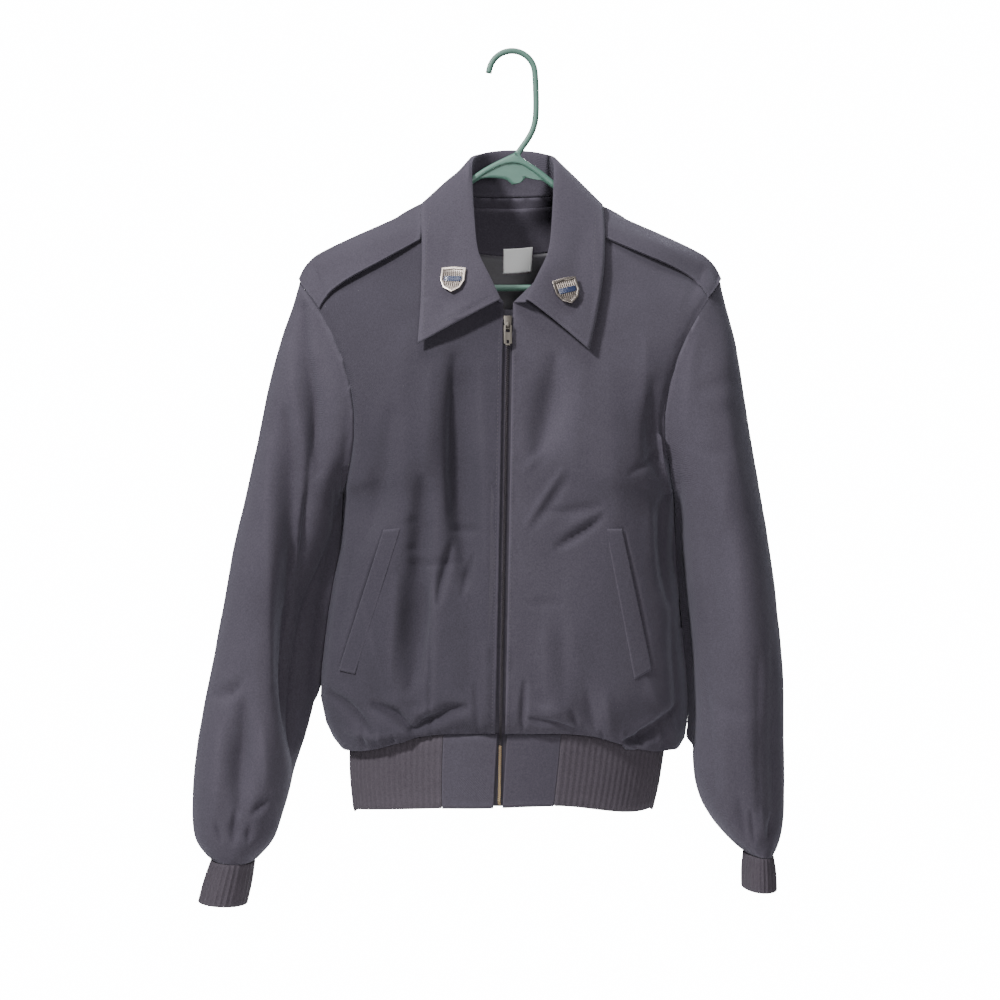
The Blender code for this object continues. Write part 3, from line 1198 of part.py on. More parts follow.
def hanger():
    right_arm = [(x, 0, z) for x, z in ARM_POINTS]
    apex = (2 * HOOK_MIDDLE_X, 0, APEX_Z)
    end_z = BAR_Z + END_RADIUS
    turn = [(END_MIDDLE_X + END_RADIUS * math.cos(a), 0, end_z + END_RADIUS * math.sin(a))
            for a in [math.radians(d) for d in END_TURN]]
    half = right_arm + turn + [(x, 0, BAR_Z) for x in BAR_POINTS_X]
    loop = [apex] + half + [(0.0, 0, BAR_Z)] + [(-x, y, z) for x, y, z in reversed(half)]
    body = tube("hanger", loop, TUBE, True)
    crown = -HOOK_RADIUS + HOOK_TUBE
    arc = [(HOOK_MIDDLE_X + HOOK_RADIUS * math.cos(a), 0, crown + HOOK_RADIUS * math.sin(a))
           for a in [math.radians(d) for d in HOOK_ARC]]
    hook = tube("hook_shape", arc + [(x, 0, z) for x, z in STEM], HOOK_TUBE, False)
    web = bmesh.new()
    sides = [[web.verts.new((x, y, z)) for x, z in WEB_OUTLINE] for y in (-WEB_HALF, WEB_HALF)]
    for k in range(len(WEB_OUTLINE)):
        n = (k + 1) % len(WEB_OUTLINE)
        web.faces.new((sides[0][k], sides[0][n], sides[1][n], sides[1][k]))
    for face in sides:
        web.faces.new(face)
    plate = add_object("web_shape", web, GREEN)
    boolean(body, hook, "UNION")
    boolean(body, plate, "UNION")


def build():
    fronts, aims = {}, {}
    for side in (LEFT, RIGHT):
        fronts[side], aims[side] = front_panel(side)
    back, back_aims = back_panel()
    for side in (LEFT, RIGHT):
        sleeve(side)
        cuff(side)
        pocket_welt(side, fronts[side], aims[side])
        epaulet(side, fronts[side], aims[side], back, back_aims)
    waistband()
    middle, normals = collar(fronts, back)
    neck_tape(middle, normals)
    for side in (LEFT, RIGHT):
        collar_badge(side, middle, normals)
    back_linings(back, back_aims)
    zip_pieces()
    slider_and_pull()
    hanger()


build()
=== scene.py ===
"""Bomber jacket in dusk blue-grey twill, zipped and hung on a green tubular hanger."""
from collections import namedtuple
import math

import bmesh
import bpy
import numpy as np
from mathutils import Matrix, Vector, kdtree, noise
from mathutils.bvhtree import BVHTree


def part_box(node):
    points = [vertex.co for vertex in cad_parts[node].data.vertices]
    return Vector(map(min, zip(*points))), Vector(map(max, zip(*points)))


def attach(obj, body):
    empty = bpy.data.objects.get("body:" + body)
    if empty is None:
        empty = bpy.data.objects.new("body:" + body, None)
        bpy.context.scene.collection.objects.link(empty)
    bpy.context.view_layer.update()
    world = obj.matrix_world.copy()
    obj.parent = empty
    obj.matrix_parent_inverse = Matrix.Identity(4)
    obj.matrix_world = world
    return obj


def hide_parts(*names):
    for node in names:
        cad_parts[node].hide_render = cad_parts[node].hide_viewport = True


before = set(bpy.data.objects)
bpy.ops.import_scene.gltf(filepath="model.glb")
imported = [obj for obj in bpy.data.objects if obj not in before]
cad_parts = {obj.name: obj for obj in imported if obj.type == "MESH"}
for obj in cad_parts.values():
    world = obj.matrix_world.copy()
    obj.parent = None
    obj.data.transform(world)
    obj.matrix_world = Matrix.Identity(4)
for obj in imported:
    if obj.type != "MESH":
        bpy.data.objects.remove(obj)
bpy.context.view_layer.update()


# Studio: a pale round floor lies well below the jacket, white paper hangs all round, far behind it,
# and soft lights stand in front, above and behind. The camera stands level with the jacket's middle.
CAMERA_LENS, CAMERA_SENSOR = 83.88, 36
CAMERA_SPOT = (-0.0103, -2.4, -0.4594)
FLOOR_RADIUS, FLOOR_LEVEL = 1.15, -1.25
PAPER_COLOUR = (0.98, 0.99, 1.0, 1)
PAPER_GLOW, PAPER_SEEN = 0.085, 16.0
LIGHTS = (
    # name, place, the point that it is turned to, size, power
    ("key_light", (-1.7, -1.8, 1.4), (0, 0, -0.35), 0.40, 126),
    ("front_light", (0.3, -2.6, -0.3), (0, 0, -0.4), 0.5, 27),
    ("top_light", (-0.2, -0.5, 1.6), (0, 0, -0.3), 0.8, 24),
    ("back_light", (0.7, 2.4, 0.7), (0, 0, -0.4), 1.2, 80),
)


def place(name, data, location, turn=(0, 0, 0)):
    """Add an object to the scene."""
    made = bpy.data.objects.new(name, data)
    made.location = location
    made.rotation_euler = [math.radians(a) for a in turn]
    bpy.context.collection.objects.link(made)
    return made


def wire(tree, kind, sockets=None, **settings):
    """Add a shader node: its sockets are given as values or as the outputs that feed them."""
    made = tree.nodes.new("ShaderNode" + kind)
    for name, value in settings.items():
        setattr(made, name, value)
    for name, value in (sockets or {}).items():
        if isinstance(value, bpy.types.NodeSocket):
            tree.links.new(value, made.inputs[name])
        else:
            made.inputs[name].default_value = value
    return made


def noise_of(tree, scale, detail, where=None):
    """The output of one Noise Texture node."""
    sockets = {"Scale": scale, "Detail": detail}
    if where is not None:
        sockets["Vector"] = where
    return wire(tree, "TexNoise", sockets).outputs["Fac"]


def ranged(tree, value, to, was=(0.0, 1.0)):
    """The output of one Map Range node: the range that a value is turned to, and the one that it had."""
    return wire(tree, "MapRange", {"Value": value, "From Min": was[0], "From Max": was[1],
                                   "To Min": to[0], "To Max": to[1]}).outputs["Result"]


def finish(name, **constants):
    """A material with one Principled BSDF whose plain values are set on its own sockets."""
    made = bpy.data.materials.new(name)
    made.use_nodes = True
    shader = made.node_tree.nodes["Principled BSDF"]
    for label, value in constants.items():
        shader.inputs[label.replace("_", " ")].default_value = value
    return made, made.node_tree, shader


camera = bpy.data.cameras.new("camera")
camera.lens = CAMERA_LENS
camera.sensor_width = CAMERA_SENSOR
bpy.context.scene.camera = place("camera", camera, CAMERA_SPOT, (90, 0, 0))

floor_shape = bmesh.new()
bmesh.ops.create_circle(floor_shape, cap_ends=True, segments=96, radius=FLOOR_RADIUS)
bmesh.ops.translate(floor_shape, verts=floor_shape.verts, vec=(0, 0, FLOOR_LEVEL))
floor = bpy.data.meshes.new("pale_floor")
floor_shape.to_mesh(floor)
floor_shape.free()
floor_finish, floor_tree, floor_shader = finish("pale_floor", Roughness=0.9)
fibre = noise_of(floor_tree, 40.0, 3.0)
floor_tree.links.new(ranged(floor_tree, fibre, (0.86, 0.90)), floor_shader.inputs["Base Color"])
floor.materials.append(floor_finish)
place("pale_floor", floor, (0, 0, 0))

for name, spot, aim, size, power in LIGHTS:
    lamp = bpy.data.lights.new(name, "AREA")
    lamp.size = size
    lamp.energy = power
    stand = place(name, lamp, spot)
    stand.rotation_euler = (Vector(aim) - Vector(spot)).to_track_quat("-Z", "Y").to_euler()

studio = bpy.data.worlds.new("studio")
studio.use_nodes = True
paper = studio.node_tree.nodes["Background"]
paper.inputs["Color"].default_value = PAPER_COLOUR
seen = wire(studio.node_tree, "LightPath").outputs["Is Camera Ray"]
studio.node_tree.links.new(ranged(studio.node_tree, seen, (PAPER_GLOW, PAPER_SEEN)), paper.inputs["Strength"])
bpy.context.scene.world = studio


# Back and fronts: three panels of wool-blend twill, seamed at the shoulders, sides and armholes.
# The cloth hangs from the shoulders, so its creases run down, and the waist seam gathers it.
def group(name, inputs, outputs):
    """An empty shader node group, with the sockets that feed its nodes and those that they feed."""
    tree = bpy.data.node_groups.new(name, "ShaderNodeTree")
    for label, kind, value in inputs:
        fed = tree.interface.new_socket(label, in_out="INPUT", socket_type="NodeSocket" + kind)
        fed.default_value = value
    for label, kind in outputs:
        tree.interface.new_socket(label, in_out="OUTPUT", socket_type="NodeSocket" + kind)
    return tree, tree.nodes.new("NodeGroupInput").outputs, tree.nodes.new("NodeGroupOutput").inputs


def math_of(tree, operation, first, second=0.0):
    """The output of one Math node."""
    return wire(tree, "Math", {0: first, 1: second}, operation=operation).outputs[0]


def mix_of(tree, share, low, high):
    """The output of one Mix node between two colours."""
    return wire(tree, "Mix", {0: share, 6: low, 7: high}, data_type="RGBA").outputs[2]


TWILL_SLANT = (0.62, 0.48, 0.62)
twill_weave, given, result = group("twill_weave", [("Pitch", "Float", 0.0009)], [("Height", "Float")])
where = wire(twill_weave, "TexCoord").outputs["Object"]
slant = wire(twill_weave, "VectorMath", {0: where, 1: TWILL_SLANT}, operation="DOT_PRODUCT").outputs["Value"]
turns = math_of(twill_weave, "MULTIPLY", math_of(twill_weave, "DIVIDE", slant, given["Pitch"]), 2 * math.pi)
waver = math_of(twill_weave, "MULTIPLY", noise_of(twill_weave, 90.0, 2.0, where), 5.0)
ribs = math_of(twill_weave, "SINE", math_of(twill_weave, "ADD", turns, waver))
yarn = noise_of(twill_weave, 1500.0, 1.0, where)
woven = math_of(twill_weave, "ADD", math_of(twill_weave, "MULTIPLY", ribs, 0.5), yarn)
twill_weave.links.new(woven, result["Height"])

LINT_COLOUR = (0.42, 0.41, 0.44, 1)
cloth_tone, given, result = group(
    "cloth_tone",
    [("Base", "Color", (0.1, 0.1, 0.1, 1)), ("Faded", "Color", (0.2, 0.2, 0.2, 1)), ("Rub", "Float", 0.5)],
    [("Color", "Color"), ("Roughness", "Float")])
where = wire(cloth_tone, "TexCoord").outputs["Object"]
patches = noise_of(cloth_tone, 11.0, 4.0, where)
heather = noise_of(cloth_tone, 700.0, 2.0, where)
# Pointiness keeps the creases at the dark base and lifts the ridges toward the faded tone: partly wear on the
# ridges, partly painted shade in the creases and painted highlight on the ridges.
pointed = wire(cloth_tone, "NewGeometry").outputs["Pointiness"]
ridge_wear_and_painted_shading = ranged(cloth_tone, pointed, (0.0, 1.0), was=(0.480, 0.54))
wear_and_painted_shading = math_of(cloth_tone, "MULTIPLY", ridge_wear_and_painted_shading, given["Rub"])
wear_and_painted_shading = math_of(cloth_tone, "ADD", wear_and_painted_shading, math_of(cloth_tone, "MULTIPLY", patches, 0.42))
wear_and_painted_shading = math_of(cloth_tone, "ADD", wear_and_painted_shading, ranged(cloth_tone, heather, (-0.16, 0.16), was=(0.3, 0.7)))
dyed = mix_of(cloth_tone, wear_and_painted_shading, given["Base"], given["Faded"])
specks = wire(cloth_tone, "TexVoronoi", {"Vector": where, "Scale": 150.0, "Randomness": 1.0})
speck = ranged(cloth_tone, specks.outputs["Distance"], (0.0, 1.0), was=(0.045, 0.02))
chance = wire(cloth_tone, "SeparateColor", {0: specks.outputs["Color"]}).outputs[0]
few = ranged(cloth_tone, chance, (0.0, 0.5), was=(0.90, 0.98))
linty = mix_of(cloth_tone, math_of(cloth_tone, "MULTIPLY", speck, few), dyed, LINT_COLOUR)
cloth_tone.links.new(linty, result["Color"])
cloth_tone.links.new(ranged(cloth_tone, patches, (1.0, 0.88)), result["Roughness"])


def tint(tree, shader, pattern, **values):
    """Feed a material's colour and roughness from a shared group with its own values."""
    toned = wire(tree, "Group", values, node_tree=pattern)
    tree.links.new(toned.outputs["Color"], shader.inputs["Base Color"])
    tree.links.new(toned.outputs["Roughness"], shader.inputs["Roughness"])


def emboss(tree, shader, pattern, pitch, strength, depth):
    """Raise a weave or a knit of the given pitch on a material's surface."""
    height = wire(tree, "Group", {"Pitch": pitch}, node_tree=pattern).outputs["Height"]
    raised = wire(tree, "Bump", {"Height": height, "Strength": strength, "Distance": depth})
    tree.links.new(raised.outputs["Normal"], shader.inputs["Normal"])


def cloth(name, base, faded, rub_and_painted_shading, pitch, bump, sheen):
    """A twill material: toned cloth with a slanting weave."""
    made, tree, shader = finish(name, Sheen_Weight=sheen, Sheen_Roughness=0.45,
                                Sheen_Tint=(0.82, 0.82, 1.0, 1), Specular_IOR_Level=0.12)
    # The rub value sets how strongly the creases take painted shade and the ridges take painted highlight and
    # wear.
    tint(tree, shader, cloth_tone, Base=(*base, 1), Faded=(*faded, 1), Rub=rub_and_painted_shading)
    emboss(tree, shader, twill_weave, pitch, bump, depth=0.0003)
    return made


body_twill = cloth("body_twill", (0.048, 0.042, 0.056), (0.100, 0.090, 0.115),
                   rub_and_painted_shading=0.35, pitch=0.0010, bump=0.6, sheen=0.14)
# The same twill made darker for the right front and its welt: painted shade standing in for the shade of that
# front's many folds.
painted_shade_twill = cloth("painted_shade_twill", (0.036, 0.032, 0.043), (0.076, 0.068, 0.088),
                     rub_and_painted_shading=0.35, pitch=0.0010, bump=0.6, sheen=0.11)
FRONT_CLOTH = {"right": painted_shade_twill, "left": body_twill}

SHARP = math.radians(50)
FOURS_BEND, FOURS_SKEW = math.radians(50), math.radians(70)
SAME_POINT = 0.00002


def solid_of(node):
    """The CAD solid of a node as a clean bmesh, its triangles joined in fours."""
    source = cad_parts[node]
    work = bmesh.new()
    work.from_mesh(source.data)
    work.transform(source.matrix_world)
    bmesh.ops.remove_doubles(work, verts=work.verts, dist=SAME_POINT)
    bmesh.ops.join_triangles(work, faces=work.faces, angle_face_threshold=FOURS_BEND,
                             angle_shape_threshold=FOURS_SKEW)
    return work


def rim_edges(shape):
    """The cut edges of a cloth, where its surface turns sharply."""
    return [edge for edge in shape.edges if edge.calc_face_angle(0) > SHARP]


def settle(name, work, material, changes=()):
    """Turn a bmesh into an object, work its modifiers in and shade it smooth between sharp edges."""
    rough = bpy.data.meshes.new(name)
    work.to_mesh(rough)
    work.free()
    made = place(name, rough, (0, 0, 0))
    for kind, settings in changes:
        change = made.modifiers.new(kind.lower(), kind)
        for label, value in settings.items():
            setattr(change, label, value)
    worked = bpy.data.meshes.new_from_object(made.evaluated_get(bpy.context.evaluated_depsgraph_get()))
    made.modifiers.clear()
    made.data = worked
    worked.name = name
    worked.materials.clear()
    worked.materials.append(material)
    worked.shade_smooth()
    worked.set_sharp_from_angle(angle=SHARP)
    return made


def skin(node, name, material, levels=3, plain=0, held_rim=False):
    """A finer skin over a cloth solid, smooth but for its cut edges. A held rim keeps a seam where it is."""
    work = solid_of(node)
    crease = work.edges.layers.float.new("crease_edge")
    corner = work.verts.layers.float.new("crease_vert")
    for edge in rim_edges(work):
        edge[crease] = 1
        if held_rim:
            for vert in edge.verts:
                vert[corner] = 1
    changes = [("SUBSURF", {"levels": plain, "subdivision_type": "SIMPLE"})] if plain else []
    changes.append(("SUBSURF", {"levels": levels}))
    return settle(name, work, material, changes)


def dress(piece, node, body="jacket"):
    """Let a piece stand for its node, whose part it hides, and ride on its body."""
    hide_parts(node)
    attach(piece, body)
    return piece


def points_of(mesh):
    """The mesh's points as an array."""
    points = np.empty(len(mesh.vertices) * 3)
    mesh.vertices.foreach_get("co", points)
    return points.reshape(-1, 3)


def normals_of(mesh):
    """The unit normals at the mesh's points as an array."""
    normals = np.empty(len(mesh.vertices) * 3)
    mesh.vertex_normals.foreach_get("vector", normals)
    return normals.reshape(-1, 3)


def move_to(mesh, points):
    """Put the mesh's points at new places."""
    mesh.vertices.foreach_set("co", points.ravel())
    mesh.update()


def eased(share):
    """A share from 0 to 1 that leaves both ends gently."""
    return share * share * (3 - 2 * share)


# A crease runs from x0, z0 to x1, z1, all in millimetres, and bows sideways. A trough's rise is below zero.
Crease = namedtuple("Crease", "x0 z0 x1 z1 bow width rise")
END_WIDTH, END_RISE, CREASE_POWER = 0.6, 0.35, 1.7


def crease_rise(creases, points):
    """Height of all creases at each point: each crease is a soft, bowed line that thins out to its ends."""
    x, z = points[:, 0], points[:, 2]
    total = np.zeros(len(points))
    for row in creases:
        x0, z0, x1, z1, bow, width, rise = [value / 1000 for value in row]
        run_x, run_z = x1 - x0, z1 - z0
        length = math.hypot(run_x, run_z)
        along = ((x - x0) * run_x + (z - z0) * run_z) / length ** 2
        held = np.clip(along, 0, 1)
        aside = ((x - x0) * run_z - (z - z0) * run_x) / length - bow * 4 * held * (1 - held)
        away = np.hypot(aside, (along - held) * length)
        full = np.sin(np.pi * held)
        spread = width * (END_WIDTH + (1 - END_WIDTH) * full)
        total += rise * (END_RISE + (1 - END_RISE) * full) * np.exp(-(away / spread) ** CREASE_POWER)
    return total


def rim_distance(mesh, points):
    """Distance of each point from the nearest cut edge."""
    shape = bmesh.new()
    shape.from_mesh(mesh)
    rim = {vert.index for edge in rim_edges(shape) for vert in edge.verts}
    shape.free()
    tree = kdtree.KDTree(len(rim))
    for k in rim:
        tree.insert(points[k], k)
    tree.balance()
    return np.array([tree.find(point)[2] for point in points])


WRINKLE, PUCKER = 0.0007, 0.0005
FINE_FLOW, FINE_SHIFT = 3.1, Vector((7, 3, 5))
PUCKER_FLOW = 130
PUCKER_FROM_RIM, PUCKER_SPREAD = 0.006, 0.004


def hang(piece, rise_at, outward_at, flow, seam_fade=0.007):
    """Crease a skin: both its faces move together along the cloth's outward direction."""
    points, normals = points_of(piece.data), normals_of(piece.data)
    facing = np.sign((normals * outward_at(points)).sum(axis=1))
    soft = np.array([noise.noise(Vector(p) * flow) for p in points])
    fine = np.array([noise.noise(Vector(p) * FINE_FLOW * flow + FINE_SHIFT) for p in points])
    ripple = np.array([noise.noise(Vector(p) * PUCKER_FLOW) for p in points])
    gap = rim_distance(piece.data, points)
    inside = eased(np.clip(gap / seam_fade, 0, 1))
    edge = np.exp(-((gap - PUCKER_FROM_RIM) / PUCKER_SPREAD) ** 2)
    rise = (rise_at(points) + WRINKLE * (soft + 0.5 * fine)) * inside + PUCKER * ripple * edge
    move_to(piece.data, points + normals * facing[:, None] * rise[:, None])
    return piece


BODY_MIDDLE_X, SHOULDERS_FROM_Z = -0.003, -0.30
OUT_ASIDE, OUT_AHEAD, OUT_UP = 27, 123, 40


def body_outward(points):
    """Rough outward direction of the body at each point: mostly ahead or behind, and up on the shoulders."""
    return np.stack((OUT_ASIDE * (points[:, 0] - BODY_MIDDLE_X), OUT_AHEAD * points[:, 1],
                     OUT_UP * np.maximum(points[:, 2] - SHOULDERS_FROM_Z, 0)), axis=1)


FRONT_CREASES = {
    "right": (
        Crease(-128, -491, -173.5, -630, 0, 2.2, -3.4),
        Crease(-55, -318, -46, -535, 2, 13, -11),
        Crease(-48, -345, -42, -640, 0, 27, -10),
        Crease(-92, -490, -96, -660, 0, 22, -9),
        Crease(-31, -330, -27, -520, 0, 10, 3),
        Crease(-80, -330, -84, -440, 0, 12, 3.5),
        Crease(-120, -375, -150, -500, -3, 15, -8),
        Crease(-104, -300, -108, -450, 2, 22, 4),
        Crease(-88, -440, -93, -530, 0, 9, -7),
        Crease(-94, -525, -101, -645, -2, 11, -10),
        Crease(-114, -540, -120, -640, 0, 9, 3.5),
        Crease(-77, -545, -76, -640, 0, 9, 2.5),
        Crease(-100, -521, -48, -520, 0, 3, -2.2),
        Crease(-58, -488, -34, -487, 0, 3.5, -2.6),
        Crease(-60, -505, -73, -560, 1, 6.5, -7),
        Crease(-40, -515, -50, -552, 0, 3, -3.4),
        Crease(-104, -479, -92, -480, 0, 3, -1.8),
        Crease(-104, -507, -92, -507, 0, 3, -1.8),
        Crease(-136, -665, -97, -691, -3, 7, -11),
        Crease(-97, -691, -46, -664, -4, 7, -11),
        Crease(-64, -669, -92, -671, 0, 8, 5),
        Crease(-183, -655, -140, -692, -2, 7, -9),
        Crease(-165, -692, -118, -694, 3, 6, 3.5),
        Crease(-150, -560, -128, -640, 0, 5, 1.5),
        Crease(-82, -590, -81, -690, 0, 3, -2),
        Crease(-36, -640, -33, -690, 0, 3.5, -2),
        Crease(-26, -600, -23, -690, 0, 5, 1.4),
        Crease(-162, -520, -176, -600, 0, 9, -3),
        Crease(-150, -688, -146, -712, 0, 3.4, -2.4),
        Crease(-132, -690, -130, -711, 0, 3, 1.8),
        Crease(-118, -694, -118, -712, 0, 3, -2.4),
        Crease(-84, -692, -85, -711, 0, 3, 1.6),
        Crease(-71, -690, -72, -711, 0, 2.8, -2),
        Crease(-55, -686, -55, -710, 0, 3, 1.5),
        Crease(-24, -684, -24, -708, 0, 2.6, -1.6),
    ),
    "left": (
        Crease(112.5, -490, 142.5, -628, 0, 2.2, -3.4),
        Crease(44, -318, 27, -412, -4, 13, -7.5),
        Crease(60, -450, 46, -600, 0, 26, -5),
        Crease(96, -340, 104, -470, 0, 26, 4),
        Crease(70, -320, 62, -430, 0, 16, 2),
        Crease(12, -431, 34, -409, 0, 4, 1.5),
        Crease(15, -484, 51, -430, 0, 4.5, 2.2),
        Crease(23, -484, 58, -436, 0, 5, -1.8),
        Crease(34, -470, 90, -463, 2, 4, -2.2),
        Crease(45, -505, 92, -475, 2, 4, -4.6),
        Crease(50, -489, 92, -470, 0, 6, 1.9),
        Crease(120, -432, 160, -408, 0, 5, -2.6),
        Crease(143, -345, 149, -430, 0, 13, -6),
        Crease(154, -465, 162, -560, 0, 11, -9),
        Crease(166, -560, 174, -700, 0, 9, -6),
        Crease(136, -300, 132, -400, 0, 12, 3),
        Crease(140, -468, 150, -540, 0, 9, 3),
        Crease(18, -561, 51, -560, 0, 5, -1.4),
        Crease(52, -588, 52, -656, 0, 10, -2.4),
        Crease(36, -580, 34, -650, 0, 9, 1.6),
        Crease(14, -640, 11, -690, 0, 3.4, -4),
        Crease(21, -676, 63, -688, 0, 5, -6),
        Crease(60, -668, 66, -684, 0, 4, -2.6),
        Crease(28, -664, 52, -669, 0, 7, 2.5),
        Crease(76, -652, 84, -690, 0, 6, -3),
        Crease(94, -655, 100, -696, 0, 8, 2.6),
        Crease(104, -715, 141, -687, 0, 7, -9),
        Crease(127, -705, 168, -672, 0, 7, -9),
        Crease(118, -698, 150, -674, 0, 5, 3),
        Crease(136, -640, 152, -670, 0, 7, 2),
        Crease(31, -688, 31, -708, 0, 2.6, 1.4),
        Crease(43, -690, 44, -710, 0, 3, -2.2),
        Crease(58, -689, 58, -710, 0, 2.8, 1.5),
        Crease(90, -690, 91, -711, 0, 3.2, -2.4),
        Crease(112, -692, 112, -712, 0, 3, 1.8),
        Crease(134, -688, 132, -711, 0, 3.2, -2.6),
        Crease(152, -684, 149, -710, 0, 3, 1.8),
    ),
}
BACK_CREASES = (
    Crease(-150, -425, -96, -520, 5, 10.4, -6.4),
    Crease(-162, -455, -118, -545, 3, 8.6, -4),
    Crease(-156, -440, -110, -530, 4, 8.6, 2.4),
    Crease(149, -420, 92, -505, -6, 10.4, -6.7),
    Crease(158, -470, 112, -548, -3, 8.6, -3.7),
    Crease(-60, -400, -50, -505, 4, 15.5, -4.3),
    Crease(-84, -340, -76, -460, 2, 15.5, 2.1),
    Crease(50, -385, 58, -470, -3, 15.5, -4),
    Crease(66, -300, 80, -430, -2, 17.2, 1.9),
    Crease(-8, -400, 3, -590, 3, 22.4, 2.8),
    Crease(-88, -560, -26, -574, 3, 6.6, -4),
    Crease(32, -528, 100, -546, -3, 8.7, -4.3),
    Crease(48, -560, 86, -567, 0, 6.6, -2.4),
    Crease(86, -585, 78, -660, 0, 13.8, 2.7),
    Crease(22, -590, 27, -662, 0, 12.1, -2.7),
    Crease(-120, -590, -112, -655, 2, 10.4, -3.2),
    Crease(-58, -600, -62, -660, 0, 10.4, -2.9),
    Crease(-168, -695, -126, -652, 2, 8.6, -6.7),
    Crease(-146, -690, -112, -660, 0, 8.6, 2.7),
    Crease(-108, -705, -99, -640, 0, 8.6, -6.1),
    Crease(-88, -700, -84, -655, 0, 6.6, -3.2),
    Crease(-71, -705, -66, -658, 0, 10.4, 3),
    Crease(-40, -705, -33, -645, 0, 8.6, -6.1),
    Crease(-20, -700, -16, -660, 0, 6.6, -2.7),
    Crease(5, -705, -1, -658, 0, 10.4, 2.8),
    Crease(44, -705, 39, -648, 0, 8.6, -6.1),
    Crease(66, -705, 62, -664, 0, 6.6, -2.9),
    Crease(91, -702, 95, -660, 0, 8.6, -4.6),
    Crease(112, -700, 110, -668, 0, 6.6, 2.4),
    Crease(165, -698, 124, -660, -2, 8.6, -7),
    Crease(150, -700, 118, -680, 0, 6.6, -3.4),
)

fronts = {}
for side in ("right", "left"):
    panel = hang(skin("front_" + side, "front_panel_" + side, FRONT_CLOTH[side], held_rim=True),
                 lambda points, rows=FRONT_CREASES[side]: crease_rise(rows, points),
                 body_outward, flow=16, seam_fade=0.0045)
    fronts[side] = dress(panel, "front_" + side)
back_panel = hang(skin("back", "back_panel", body_twill, held_rim=True),
                  lambda points: crease_rise(BACK_CREASES, points), body_outward, flow=16)
dress(back_panel, "back")


# Sleeves: each one piece of the body's twill, seamed under the arm and set in at the armhole.
# They hang empty, so they fold along their length, break at the elbow and gather at the cuff.
SLEEVE_CREASES = {
    "right": (
        Crease(-212, -262, -187, -430, 5, 9, -9),
        Crease(-200, -330, -198, -500, 0, 27, -17),
        Crease(-203, -470, -200, -730, 0, 34, -27),
        Crease(-224, -300, -208, -420, 2, 9, 2),
        Crease(-231, -372, -219, -530, 0, 10, -10),
        Crease(-221, -515, -209, -735, 0, 14, -14),
        Crease(-246, -400, -238, -640, 0, 11, 4),
        Crease(-300, -653, -272, -643, 3, 5, -7),
        Crease(-270, -668, -272, -768, 0, 12, -13),
        Crease(-249, -690, -246, -750, 0, 8, 3),
        Crease(-292, -690, -296, -775, 0, 9, 3),
        Crease(-260, -775, -243, -760, 0, 4, -4.5),
        Crease(-276, -775, -279, -803, 0, 5, -4.5),
        Crease(-262, -788, -264, -803, 0, 4, -3),
        Crease(-296, -784, -292, -802, 0, 4, -2),
        Crease(-275, -420, -290, -560, 0, 14, 2),
        Crease(-196, -470, -190, -600, 0, 8, -3),
    ),
    "left": (
        Crease(187, -296, 177, -392, 3, 9, 2),
        Crease(190, -357, 236, -357, 1, 6, 0.9),
        Crease(190, -346, 226, -337, 0, 6, -1),
        Crease(184, -405, 218, -411, 1, 5, -1.3),
        Crease(217, -430, 199, -502, -4, 7, 1),
        Crease(199, -500, 205, -620, 2, 12, -2.5),
        Crease(192, -430, 190, -700, 0, 26, -8),
        Crease(226, -500, 232, -640, 0, 16, 2.5),
        Crease(247, -615, 249, -765, 0, 8, -2.6),
        Crease(263, -600, 265, -790, 0, 7, -2.5),
        Crease(193, -655, 204, -752, 0, 9, -3.6),
        Crease(205, -660, 246, -668, 3, 8, -1.5),
        Crease(228, -760, 234, -798, 0, 5, -2.6),
        Crease(240, -772, 244, -801, 0, 4, -3),
        Crease(251, -768, 254, -798, 0, 4, 2),
        Crease(262, -778, 260, -800, 0, 3.5, -2.5),
    ),
}
SLEEVE_BACK_CREASES = {
    "right": (
        Crease(-188, -320, -210, -425, 5, 9.9, -8.6),
        Crease(-206, -330, -226, -400, 2, 9.9, 3.2),
        Crease(-238, -400, -263, -560, 4, 13.2, -9),
        Crease(-222, -450, -240, -540, 0, 9.9, -4.9),
        Crease(-214, -640, -296, -626, -4, 8.2, -8.1),
        Crease(-228, -622, -280, -606, -3, 8.2, -4.5),
        Crease(-248, -685, -262, -782, 2, 9.9, -8.6),
        Crease(-288, -700, -292, -790, 0, 9.9, 3.6),
        Crease(-300, -775, -296, -802, 0, 5.4, -4.5),
        Crease(-280, -772, -279, -802, 0, 5.4, 3.6),
        Crease(-268, -778, -269, -802, 0, 5.4, -4.9),
        Crease(-250, -776, -255, -800, 0, 5.4, 3.2),
    ),
    "left": (
        Crease(190, -330, 208, -430, -5, 9.9, -8.6),
        Crease(210, -340, 226, -410, -2, 9.9, 2.9),
        Crease(224, -425, 246, -572, -4, 13.2, -9),
        Crease(206, -470, 218, -560, 0, 9.9, -4.5),
        Crease(200, -630, 264, -646, 4, 8.2, -8.1),
        Crease(214, -612, 254, -620, 3, 8.4, -4.1),
        Crease(224, -700, 236, -786, -2, 9.9, -8.1),
        Crease(256, -690, 262, -780, 0, 9.9, 3.2),
        Crease(238, -772, 243, -801, 0, 5.4, 3.6),
        Crease(250, -774, 252, -801, 0, 5.4, -4.9),
        Crease(263, -776, 260, -800, 0, 5.4, 3.2),
    ),
}

ARMHOLE_X, ARMHOLE_Z = 0.190, -0.30
SLEEVE_SPLAY = 0.155
SLEEVE_TURN = 0.024


